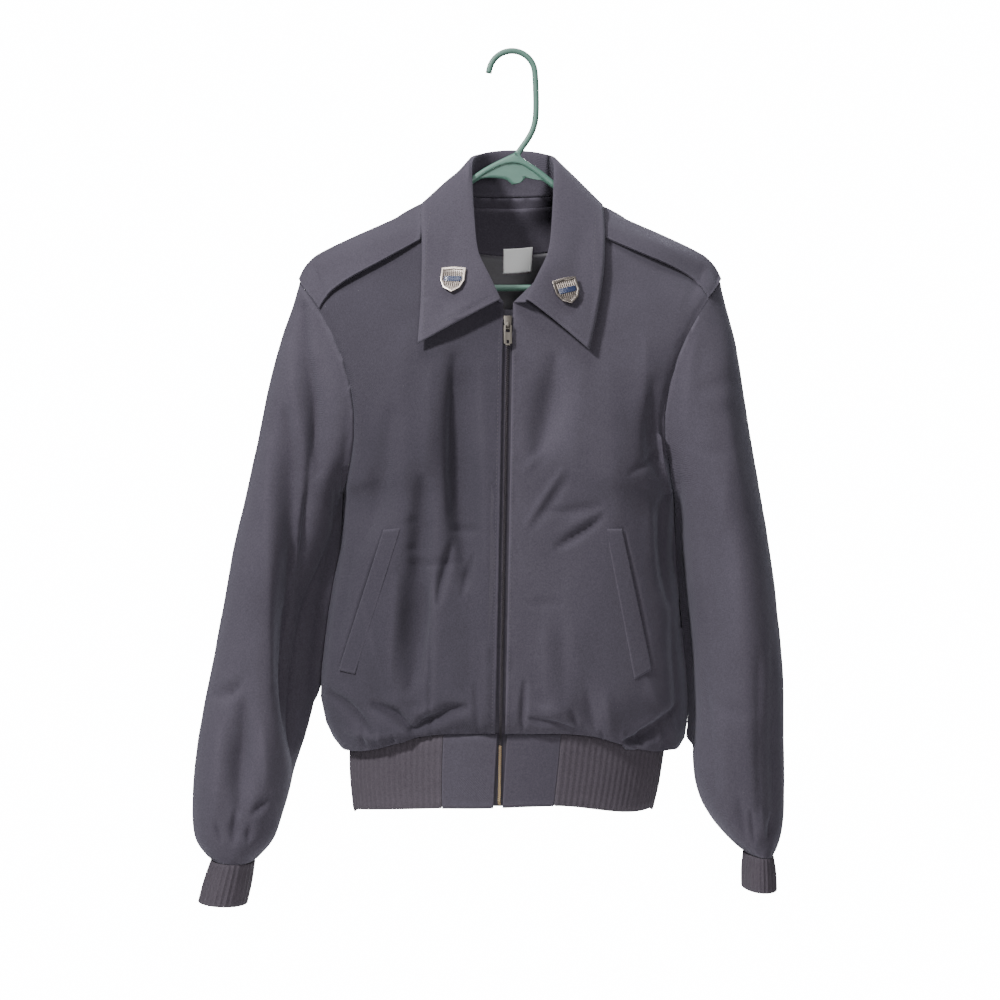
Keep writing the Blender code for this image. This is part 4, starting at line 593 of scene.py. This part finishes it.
def sleeve_outward(points, sign):
    """Rough outward direction of a sleeve at each point: away from its middle line, and up at its head."""
    middle = sign * (ARMHOLE_X + SLEEVE_SPLAY * np.maximum(ARMHOLE_Z - points[:, 2], 0))
    return np.stack((points[:, 0] - middle, points[:, 1], np.maximum(points[:, 2] - ARMHOLE_Z, 0)), axis=1)


def sleeve_rise(points, side):
    """Front creases on the front half and back creases on the back half."""
    ahead = np.clip(0.5 - points[:, 1] / SLEEVE_TURN, 0, 1)
    return (crease_rise(SLEEVE_CREASES[side], points) * ahead
            + crease_rise(SLEEVE_BACK_CREASES[side], points) * (1 - ahead))


def face_tree(piece):
    """A search tree of a piece's faces."""
    shape = bmesh.new()
    shape.from_mesh(piece.data)
    shape.transform(piece.matrix_world)
    tree = BVHTree.FromBMesh(shape)
    shape.free()
    return tree


def nearest(tree, point, reach=1.0):
    """The nearest place on a tree's faces within reach, and how far it is."""
    found = tree.find_nearest(Vector(point), reach)
    return found[0], found[3]


SWELL_REACH, SWELL_OVER, SWELL_SPARE = 0.012, 0.65, 0.0005
FACED_FROM, FACED_OVER = 0.2, 0.5
SEAM_GAP, SEAM_LEFT = 0.0006, 0.00004


def lean_on(piece, others):
    """Swell a piece's outside until it just rests on the pieces close to it, and close its seam with them."""
    points, normals = points_of(piece.data), normals_of(piece.data)
    for other in others:
        tree = face_tree(other)
        for k, point in enumerate(points):
            near, gap = nearest(tree, point, SWELL_REACH)
            if near is None:
                continue
            if gap < SEAM_GAP:
                points[k] += np.array(near - Vector(point)) * max(1 - SEAM_LEFT / max(gap, SEAM_LEFT), 0)
                continue
            toward = (near - Vector(point)) / gap
            faced = np.clip((toward.dot(Vector(normals[k])) - FACED_FROM) / FACED_OVER, 0, 1)
            close = np.clip((SWELL_REACH - gap) / (SWELL_OVER * SWELL_REACH), 0, 1)
            points[k] += np.array(toward) * (gap - SWELL_SPARE) * faced * eased(close)
    move_to(piece.data, points)


for side, sign in (("right", -1), ("left", 1)):
    sleeve = hang(skin("sleeve_" + side, "sleeve_cloth_" + side, body_twill, held_rim=True),
                  lambda points, side=side: sleeve_rise(points, side),
                  lambda points, sign=sign: sleeve_outward(points, sign), flow=18)
    lean_on(sleeve, (fronts[side], back_panel))
    dress(sleeve, "sleeve_" + side)


# Rib knit: cuffs and waistband in one-and-one rib of the body's colour, sewn on stretched.
# The waistband's two ends beside the zip are plain twill.
rib_knit, given, result = group("rib_knit", [("Pitch", "Float", 0.0011)], [("Height", "Float")])
where = wire(rib_knit, "TexCoord").outputs["Object"]
level = wire(rib_knit, "SeparateXYZ", {0: where}).outputs["Z"]
turns = math_of(rib_knit, "MULTIPLY", math_of(rib_knit, "DIVIDE", level, given["Pitch"]), 2 * math.pi)
loops = math_of(rib_knit, "MULTIPLY", math_of(rib_knit, "SINE", turns), 0.35)
fuzz = noise_of(rib_knit, 900.0, 2.0, where)
rib_knit.links.new(math_of(rib_knit, "ADD", loops, fuzz), result["Height"])

knit, knit_tree, knit_shader = finish("rib_knit", Sheen_Weight=0.06, Sheen_Roughness=0.5,
                                      Sheen_Tint=(0.85, 0.82, 0.95, 1), Specular_IOR_Level=0.2)
tint(knit_tree, knit_shader, cloth_tone,
     Base=(0.048, 0.040, 0.051, 1), Faded=(0.110, 0.095, 0.114, 1), Rub=0.28)
emboss(knit_tree, knit_shader, rib_knit, pitch=0.0011, strength=0.5, depth=0.0004)


def soften_ribs(piece, rounds):
    """Round a knit's ribs: the first round moves its cut edges too, and the others leave them in place."""
    shape = bmesh.new()
    shape.from_mesh(piece.data)
    rim = {vert for edge in rim_edges(shape) for vert in edge.verts}
    inner = [vert for vert in shape.verts if vert not in rim]
    for k in range(rounds):
        bmesh.ops.smooth_vert(shape, verts=inner if k else shape.verts[:], factor=0.5,
                              use_axis_x=True, use_axis_y=True, use_axis_z=True)
    shape.to_mesh(piece.data)
    shape.free()
    return piece


for side in ("right", "left"):
    cuff = soften_ribs(skin("cuff_" + side, "cuff_knit_" + side, knit, levels=2, plain=1), rounds=6)
    dress(cuff, "cuff_" + side)
    band_end = dress(skin("waistband_front_" + side, "band_end_" + side, body_twill),
                     "waistband_front_" + side)
band = soften_ribs(skin("waistband_rib", "band_knit", knit, levels=1, plain=1), rounds=7)
dress(band, "waistband_rib")


# Neck: the shirt collar is one folded piece, turned down over a facing, a satin half lining and a tape.
# A blank white label is sewn over the lining below the facing.
COLLAR_CREASES = (
    Crease(-60, -190, -70, -270, 0, 12, -2.5),
    Crease(-85, -180, -91, -285, 0, 5, 1.2),
    Crease(-40, -262, -80, -292, 0, 7, 1.5),
    Crease(70, -190, 60, -270, 0, 13, -3),
    Crease(40, -235, 52, -285, 0, 9, -2),
    Crease(87, -190, 85, -290, 0, 5, 1.2),
    Crease(-84, -190, -86, -288, 0, 1.8, -0.7),
    Crease(-86, -291, -18, -256, 0, 1.8, -0.7),
    Crease(84, -200, 80, -292, 0, 1.8, -0.7),
    Crease(74, -299, 17, -256, 0, 1.8, -0.7),
)

COLLAR_FRONT = 0.03


def follow_back(piece):
    """Move a piece inside the back with the back's creases, so that it never shows through."""
    points = points_of(piece.data)
    points[:, 1] += crease_rise(BACK_CREASES, points)
    move_to(piece.data, points)
    return piece


collar_cloth = skin("collar", "collar_cloth", body_twill)
points = points_of(collar_cloth.data)
points[:, 1] -= crease_rise(COLLAR_CREASES, points) * np.clip(-points[:, 1] / COLLAR_FRONT, 0, 1)
move_to(collar_cloth.data, points)
dress(collar_cloth, "collar")
facing = dress(follow_back(skin("back_facing", "neck_facing", body_twill, levels=2)), "back_facing")
tape = dress(skin("neck_tape", "seam_tape", body_twill, levels=2), "neck_tape")

satin, satin_tree, satin_shader = finish("lining_satin", Roughness=0.5)
satin_tone = wire(satin_tree, "Group", {"Base": (0.030, 0.027, 0.036, 1), "Faded": (0.060, 0.055, 0.068, 1)},
                  node_tree=cloth_tone)
satin_tree.links.new(satin_tone.outputs["Color"], satin_shader.inputs["Base Color"])
emboss(satin_tree, satin_shader, twill_weave, pitch=0.0004, strength=0.2, depth=0.0002)
lining = dress(follow_back(skin("lining_back", "half_lining", satin, levels=2)), "lining_back")

label_cloth, label_tree, label_shader = finish("label_tape", Roughness=0.75)
label_white = ranged(label_tree, noise_of(label_tree, 60.0, 3.0), (0.94, 0.99))
label_tree.links.new(label_white, label_shader.inputs["Base Color"])
emboss(label_tree, label_shader, twill_weave, pitch=0.0005, strength=0.3, depth=0.0002)
label = dress(follow_back(skin("neck_label", "blank_label", label_cloth)), "neck_label")


# Stitching: rows of polyester thread, a shade darker than the cloth, sewn through it by machine
# along the folded edges of the collar and down both front edges beside the zip.
thread, thread_tree, thread_shader = finish("sewing_thread", Roughness=0.6, Sheen_Weight=0.2)
thread_tone = mix_of(thread_tree, noise_of(thread_tree, 800.0, 2.0),
                     (0.036, 0.032, 0.042, 1), (0.074, 0.067, 0.086, 1))
thread_tree.links.new(thread_tone, thread_shader.inputs["Base Color"])

STITCH_LENGTH, STITCH_PITCH, THREAD_RADIUS = 0.0030, 0.0038, 0.00022
RING_POINTS = 6
STITCH_RINGS = (
    # share of the stitch's length, height over the cloth, share of the thread's radius
    (0, -0.0002, 0.5),
    (0.5, 0.00018, 1),
    (1, -0.0002, 0.5),
)


def close_rings(work, rings):
    """Join rings of points into a bar with closed ends."""
    for low, high in zip(rings, rings[1:]):
        for k in range(len(low)):
            n = (k + 1) % len(low)
            work.faces.new((low[k], low[n], high[n], high[k]))
    work.faces.new(rings[0])
    work.faces.new(rings[-1])


def stitch(work, search, spots):
    """One stitch laid from the front through spots over the cloth, if there is cloth behind them all."""
    held = []
    for spot in spots:
        hit, out = search.ray_cast(Vector((spot.x, -1, spot.z)), Vector((0, 1, 0)))[:2]
        if hit is None:
            return
        held.append((hit, out if out.y < 0 else -out))
    reach = held[-1][0] - held[0][0]
    if reach.length > 2 * STITCH_LENGTH:
        return
    rings = []
    for (hit, out), (share, lift, swell) in zip(held, STITCH_RINGS):
        aside = reach.normalized().cross(out).normalized()
        middle = hit + out * lift
        turn = np.linspace(0, 2 * math.pi, RING_POINTS, endpoint=False)
        rings.append([
            work.verts.new(middle + (aside * math.cos(a) + out * math.sin(a)) * THREAD_RADIUS * swell)
            for a in turn])
    close_rings(work, rings)


def add_on(piece):
    """Fix a piece that has no node of its own to the jacket."""
    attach(piece, "jacket")


def sew(name, piece, rows):
    """Rows of stitches on a piece, along lines given in millimetres across and down."""
    search = face_tree(piece)
    work = bmesh.new()
    for row in rows:
        line = [Vector((x, 0, z)) / 1000 for x, z in row]
        at = 0.0
        for a, b in zip(line, line[1:]):
            run = (b - a).normalized()
            length = (b - a).length
            while at + STITCH_LENGTH < length:
                stitch(work, search, [a + run * (at + STITCH_LENGTH * ring[0]) for ring in STITCH_RINGS])
                at += STITCH_PITCH
            at -= length
    add_on(settle(name, work, thread))


sew("collar_stitches", collar_cloth, (
    ((-81, -166), (-84, -190), (-86, -250), (-86, -291), (-18, -256)),
    ((87, -168), (84, -220), (81, -280), (74, -299), (17, -256)),
))
sew("front_stitches_right", fronts["right"], (((-11, -290), (-19, -728)),))
sew("front_stitches_left", fronts["left"], (((5, -290), (-3, -728)),))


# Epaulets and pocket welts: doubled strips of the same twill. The straps are held by the sleeve seam
# and run under the collar, and each welt is sewn over its pocket's slit by one long side and its ends.
WeltSeam = namedtuple("WeltSeam", "sewn_x open_x sewn_low_x open_low_x high_z low_z")
WELT_SEAMS = {
    "right": WeltSeam(-0.1091, -0.1261, -0.1551, -0.1720, -0.4884, -0.6326),
    "left": WeltSeam(0.0945, 0.1105, 0.1234, 0.1407, -0.4882, -0.6340),
}
WELT_SUNK = 0.0017
STRAP_THICK, STRAP_AIR = 0.0022, 0.0003
STRAP_DROP_FROM, STRAP_DROP_TO = 0.150, 0.204


def drop_strap_end(strap, panels):
    """Bring a strap's outer end down on to the shoulder, where the sleeve seam holds it."""
    points, normals = points_of(strap.data), normals_of(strap.data)
    trees = [face_tree(panel) for panel in panels]
    for k, point in enumerate(points):
        share = eased(np.clip((abs(point[0]) - STRAP_DROP_FROM) / (STRAP_DROP_TO - STRAP_DROP_FROM), 0, 1))
        near, gap = min((nearest(tree, point) for tree in trees), key=lambda found: found[1])
        away = (Vector(point) - near) / gap
        rest = STRAP_AIR + (STRAP_THICK if away.dot(Vector(normals[k])) > 0 else 0)
        points[k] -= np.array((0, away.y, away.z)) * max(gap - rest, 0) * share
    move_to(strap.data, points)
    return strap


def lay_welt(welt, creases, seam):
    """Lay a welt on its front: it follows the front's creases, and its sewn side is sunk into the seam."""
    points = points_of(welt.data)
    points[:, 1] -= crease_rise(creases, points)
    down = np.clip((points[:, 2] - seam.high_z) / (seam.low_z - seam.high_z), 0, 1)
    sewn = seam.sewn_x + (seam.sewn_low_x - seam.sewn_x) * down
    opening = seam.open_x + (seam.open_low_x - seam.open_x) * down
    points[:, 1] += WELT_SUNK * (1 - np.clip((points[:, 0] - sewn) / (opening - sewn), 0, 1))
    move_to(welt.data, points)
    return welt


for side in ("right", "left"):
    strap = skin("epaulet_" + side, "shoulder_strap_" + side, body_twill)
    dress(drop_strap_end(strap, (fronts[side], back_panel)), "epaulet_" + side)
    # The first of a front's creases is the slit that its own welt covers.
    welt = lay_welt(skin("pocket_welt_" + side, "pocket_edge_" + side, FRONT_CLOTH[side]),
                    FRONT_CREASES[side][1:], WELT_SEAMS[side])
    dress(welt, "pocket_welt_" + side)


# Zip: two woven tapes sewn behind the front edges, a chain of brass teeth clamped along them,
# and a die-cast slider whose stamped pull tab hangs from a bridge. The chain's lowest teeth are bright.
worn_metal, given, result = group(
    "worn_metal",
    [("Dark", "Color", (0.1, 0.1, 0.1, 1)), ("Bright", "Color", (0.5, 0.5, 0.5, 1)),
     ("Polish", "Float", 0.3)],
    [("Color", "Color"), ("Roughness", "Float")])
stain = math_of(worn_metal, "MULTIPLY", noise_of(worn_metal, 420.0, 4.0), 0.6)
pointed = wire(worn_metal, "NewGeometry").outputs["Pointiness"]
rubbed = math_of(worn_metal, "MULTIPLY", ranged(worn_metal, pointed, (0.0, 1.0), was=(0.46, 0.56)), 0.6)
shine = math_of(worn_metal, "ADD", stain, rubbed)
dullest = math_of(worn_metal, "ADD", given["Polish"], 0.2)
worn_metal.links.new(mix_of(worn_metal, shine, given["Dark"], given["Bright"]), result["Color"])
worn_metal.links.new(ranged(worn_metal, shine, (dullest, given["Polish"])), result["Roughness"])


def metal(name, bright, dark, polish):
    """Worn metal: bright where it is rubbed, dull and dark in the hollows."""
    made, tree, shader = finish(name, Metallic=1.0)
    tint(tree, shader, worn_metal, Bright=(*bright, 1), Dark=(*dark, 1), Polish=polish)
    return made


# The chain's brass is painted dark grey here: painted shade for the gap between the front edges, not age.
painted_shade_brass = metal("brass_in_painted_shade", (0.090, 0.080, 0.088), (0.022, 0.020, 0.022), polish=0.42)
bright_brass = metal("bright_brass", (0.72, 0.56, 0.34), (0.30, 0.21, 0.12), polish=0.28)
pewter = metal("slider_pewter", (0.20, 0.18, 0.16), (0.05, 0.045, 0.04), polish=0.42)
tape_cloth = cloth("zip_tape_cloth", (0.036, 0.032, 0.042), (0.076, 0.069, 0.086),
                   rub_and_painted_shading=0.2, pitch=0.0012, bump=0.5, sheen=0.1)
zip_tape = dress(skin("zip_tape", "zip_tapes", tape_cloth, levels=2), "zip_tape")

TOOTH_PITCH = 0.0022
TOOTH_WIDE, TOOTH_DEEP, TOOTH_HIGH = 0.0018, 0.0022, 0.0012
TOOTH_ASIDE, TOOTH_BEHIND = 0.0006, 0.0016
TOOTH_FRONT, TOOTH_TIP = 0.62, 0.72
TOOTH_BEVEL = 0.00018
CHAIN_TOP_X, CHAIN_TOP_Z = -0.0024, -0.280
CHAIN_DRIFT, CHAIN_DROP = 0.0089, 0.495
CHAIN_SHORT_LOW, CHAIN_SHORT_HIGH = 0.0012, 0.0010
BRIGHT_BELOW = -0.704
chain_solid = face_tree(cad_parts["zip_chain"])
chain_low, chain_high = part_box("zip_chain")
teeth = bmesh.new()
levels = np.arange(chain_low[2] + CHAIN_SHORT_LOW, chain_high[2] - CHAIN_SHORT_HIGH, TOOTH_PITCH / 2)
for k, level in enumerate(levels):
    middle_x = CHAIN_TOP_X - CHAIN_DRIFT * (CHAIN_TOP_Z - level) / CHAIN_DROP
    hit = chain_solid.ray_cast(Vector((middle_x, -1, level)), Vector((0, 1, 0)))[0]
    if hit is None:
        continue
    sign = 1 if k % 2 else -1
    for vert in bmesh.ops.create_cube(teeth, size=1)["verts"]:
        narrow = TOOTH_FRONT if vert.co.y < 0 else 1.0
        tip = TOOTH_TIP if vert.co.x * sign < 0 else 1.0
        vert.co = hit + Vector((vert.co.x * TOOTH_WIDE + sign * TOOTH_ASIDE,
                                vert.co.y * TOOTH_DEEP * narrow + TOOTH_BEHIND,
                                vert.co.z * TOOTH_HIGH * tip * narrow))
bmesh.ops.bevel(teeth, geom=teeth.edges[:], offset=TOOTH_BEVEL, segments=1, affect="EDGES")
chain = settle("zip_teeth", teeth, painted_shade_brass)
# Teeth above BRIGHT_BELOW keep the dark painted shade; only the lowest teeth show the brass's own bright
# colour.
chain.data.materials.append(bright_brass)
for face in chain.data.polygons:
    face.material_index = 1 if face.center.z < BRIGHT_BELOW else 0
dress(chain, "zip_chain")

FLAT = math.radians(3)


def flat_faced(node):
    """A hard solid with the triangles of each flat face joined."""
    work = solid_of(node)
    bmesh.ops.dissolve_limit(work, angle_limit=FLAT, verts=work.verts, edges=work.edges)
    return work


def softened(node, name, material, rounding):
    """A copy of a hard solid with its edges rounded."""
    bevel = {"width": rounding, "segments": 3, "limit_method": "ANGLE", "harden_normals": False}
    return settle(name, flat_faced(node), material, [("BEVEL", bevel)])


dress(softened("zip_slider", "zip_slider_body", pewter, rounding=0.0004), "zip_slider")
dress(softened("zip_pull_tab", "zip_pull", pewter, rounding=0.0003), "zip_pull_tab", "zip_pull")


# Collar pins: stamped metal shields with a raised rim and a fluted field, pinned through the collar's
# leaves. A plain band of blue enamel crosses each of them.
pin_metal = metal("pin_metal", (0.52, 0.46, 0.42), (0.13, 0.11, 0.10), polish=0.30)
enamel, enamel_tree, enamel_shader = finish("blue_enamel", Roughness=0.25, Coat_Weight=0.6)
enamel_tone = mix_of(enamel_tree, noise_of(enamel_tree, 300.0, 2.0),
                     (0.018, 0.026, 0.070, 1), (0.040, 0.055, 0.120, 1))
enamel_tree.links.new(enamel_tone, enamel_shader.inputs["Base Color"])

RIM_RADIUS = 0.0009
FLUTE_RADIUS, FLUTE_PITCH, FLUTE_REACH = 0.00085, 0.0021, 0.0084
FLUTE_INSET, FLUTE_SHORTEST = 0.0012, 0.004
BAND_RADIUS, BAND_PITCH, BAND_REACH = 0.00075, 0.00088, 0.0022
BAND_INSET, BAND_RAISED = 0.0010, 0.0006
BAR_RINGS = (
    # share of the bar's length, share of its radius
    (0, 0.25),
    (0.12, 1),
    (0.88, 1),
    (1, 0.25),
)


def half_round(work, start, end, aside, out, radius):
    """A half-round bar from start to end, its flat side down."""
    rings = []
    for share, swell in BAR_RINGS:
        middle = start.lerp(end, share)
        rings.append([work.verts.new(middle + (aside * math.cos(a) + out * math.sin(a)) * radius * swell)
                      for a in np.linspace(0, math.pi, RING_POINTS)])
    close_rings(work, rings)


def steps(reach, pitch):
    """Levels at a pitch from one reach below the middle to one above it."""
    return np.arange(-reach, reach + pitch / 10, pitch)


def across_outline(outline, axis, level):
    """The two places where a level line crosses an outline of (u, v) pairs."""
    found = []
    for a, b in zip(outline, outline[1:] + outline[:1]):
        if (a[axis] - level) * (b[axis] - level) < 0:
            share = (level - a[axis]) / (b[axis] - a[axis])
            found.append(a[1 - axis] + (b[1 - axis] - a[1 - axis]) * share)
    return min(found), max(found)


for side in ("right", "left"):
    shape = flat_faced("collar_badge_" + side)
    shape.normal_update()
    face = min(shape.faces, key=lambda face: face.calc_area() * face.normal.y)
    out = face.normal.copy()
    middle = face.calc_center_median()
    point = min((vert.co for vert in face.verts), key=lambda co: co.z)
    up = (middle - point).normalized()
    aside = up.cross(out)
    outline = [((vert.co - middle).dot(aside), (vert.co - middle).dot(up)) for vert in face.verts]
    shape.free()
    relief = bmesh.new()
    for level in steps(FLUTE_REACH, FLUTE_PITCH):
        low, high = across_outline(outline, 0, level)
        if high - low > FLUTE_SHORTEST:
            half_round(relief, middle + aside * level + up * (low + FLUTE_INSET),
                       middle + aside * level + up * (high - FLUTE_INSET), aside, out, FLUTE_RADIUS)
    for a, b in zip(outline, outline[1:] + outline[:1]):
        half_round(relief, middle + aside * a[0] + up * a[1], middle + aside * b[0] + up * b[1],
                   (aside * (b[1] - a[1]) - up * (b[0] - a[0])).normalized(), out, RIM_RADIUS)
    pin = softened("collar_badge_" + side, "collar_pin_" + side, pin_metal, rounding=0.0003)
    dress(pin, "collar_badge_" + side)
    add_on(settle("pin_flutes_" + side, relief, pin_metal))
    band_shape = bmesh.new()
    for level in steps(BAND_REACH, BAND_PITCH):
        low, high = across_outline(outline, 1, level)
        start = middle + up * level + aside * (low + BAND_INSET) + out * BAND_RAISED
        end = middle + up * level + aside * (high - BAND_INSET) + out * BAND_RAISED
        half_round(band_shape, start, end, up, out, BAND_RADIUS)
    add_on(settle("pin_enamel_" + side, band_shape, enamel))


# Hanger: one moulding of green plastic, a tube bent to shoulders, bar and hook with a flat web under
# the hook. It carries the jacket by its shoulders and stays with it as one body.
green, green_tree, green_shader = finish("green_plastic", Coat_Weight=0.12, Coat_Roughness=0.3)
green_noise = noise_of(green_tree, 35.0, 4.0)
green_tone = mix_of(green_tree, green_noise, (0.062, 0.145, 0.112, 1), (0.105, 0.215, 0.170, 1))
green_tree.links.new(green_tone, green_shader.inputs["Base Color"])
green_tree.links.new(ranged(green_tree, green_noise, (0.42, 0.60)), green_shader.inputs["Roughness"])
dress(skin("hanger", "hanger_tube", green, levels=2), "hanger")
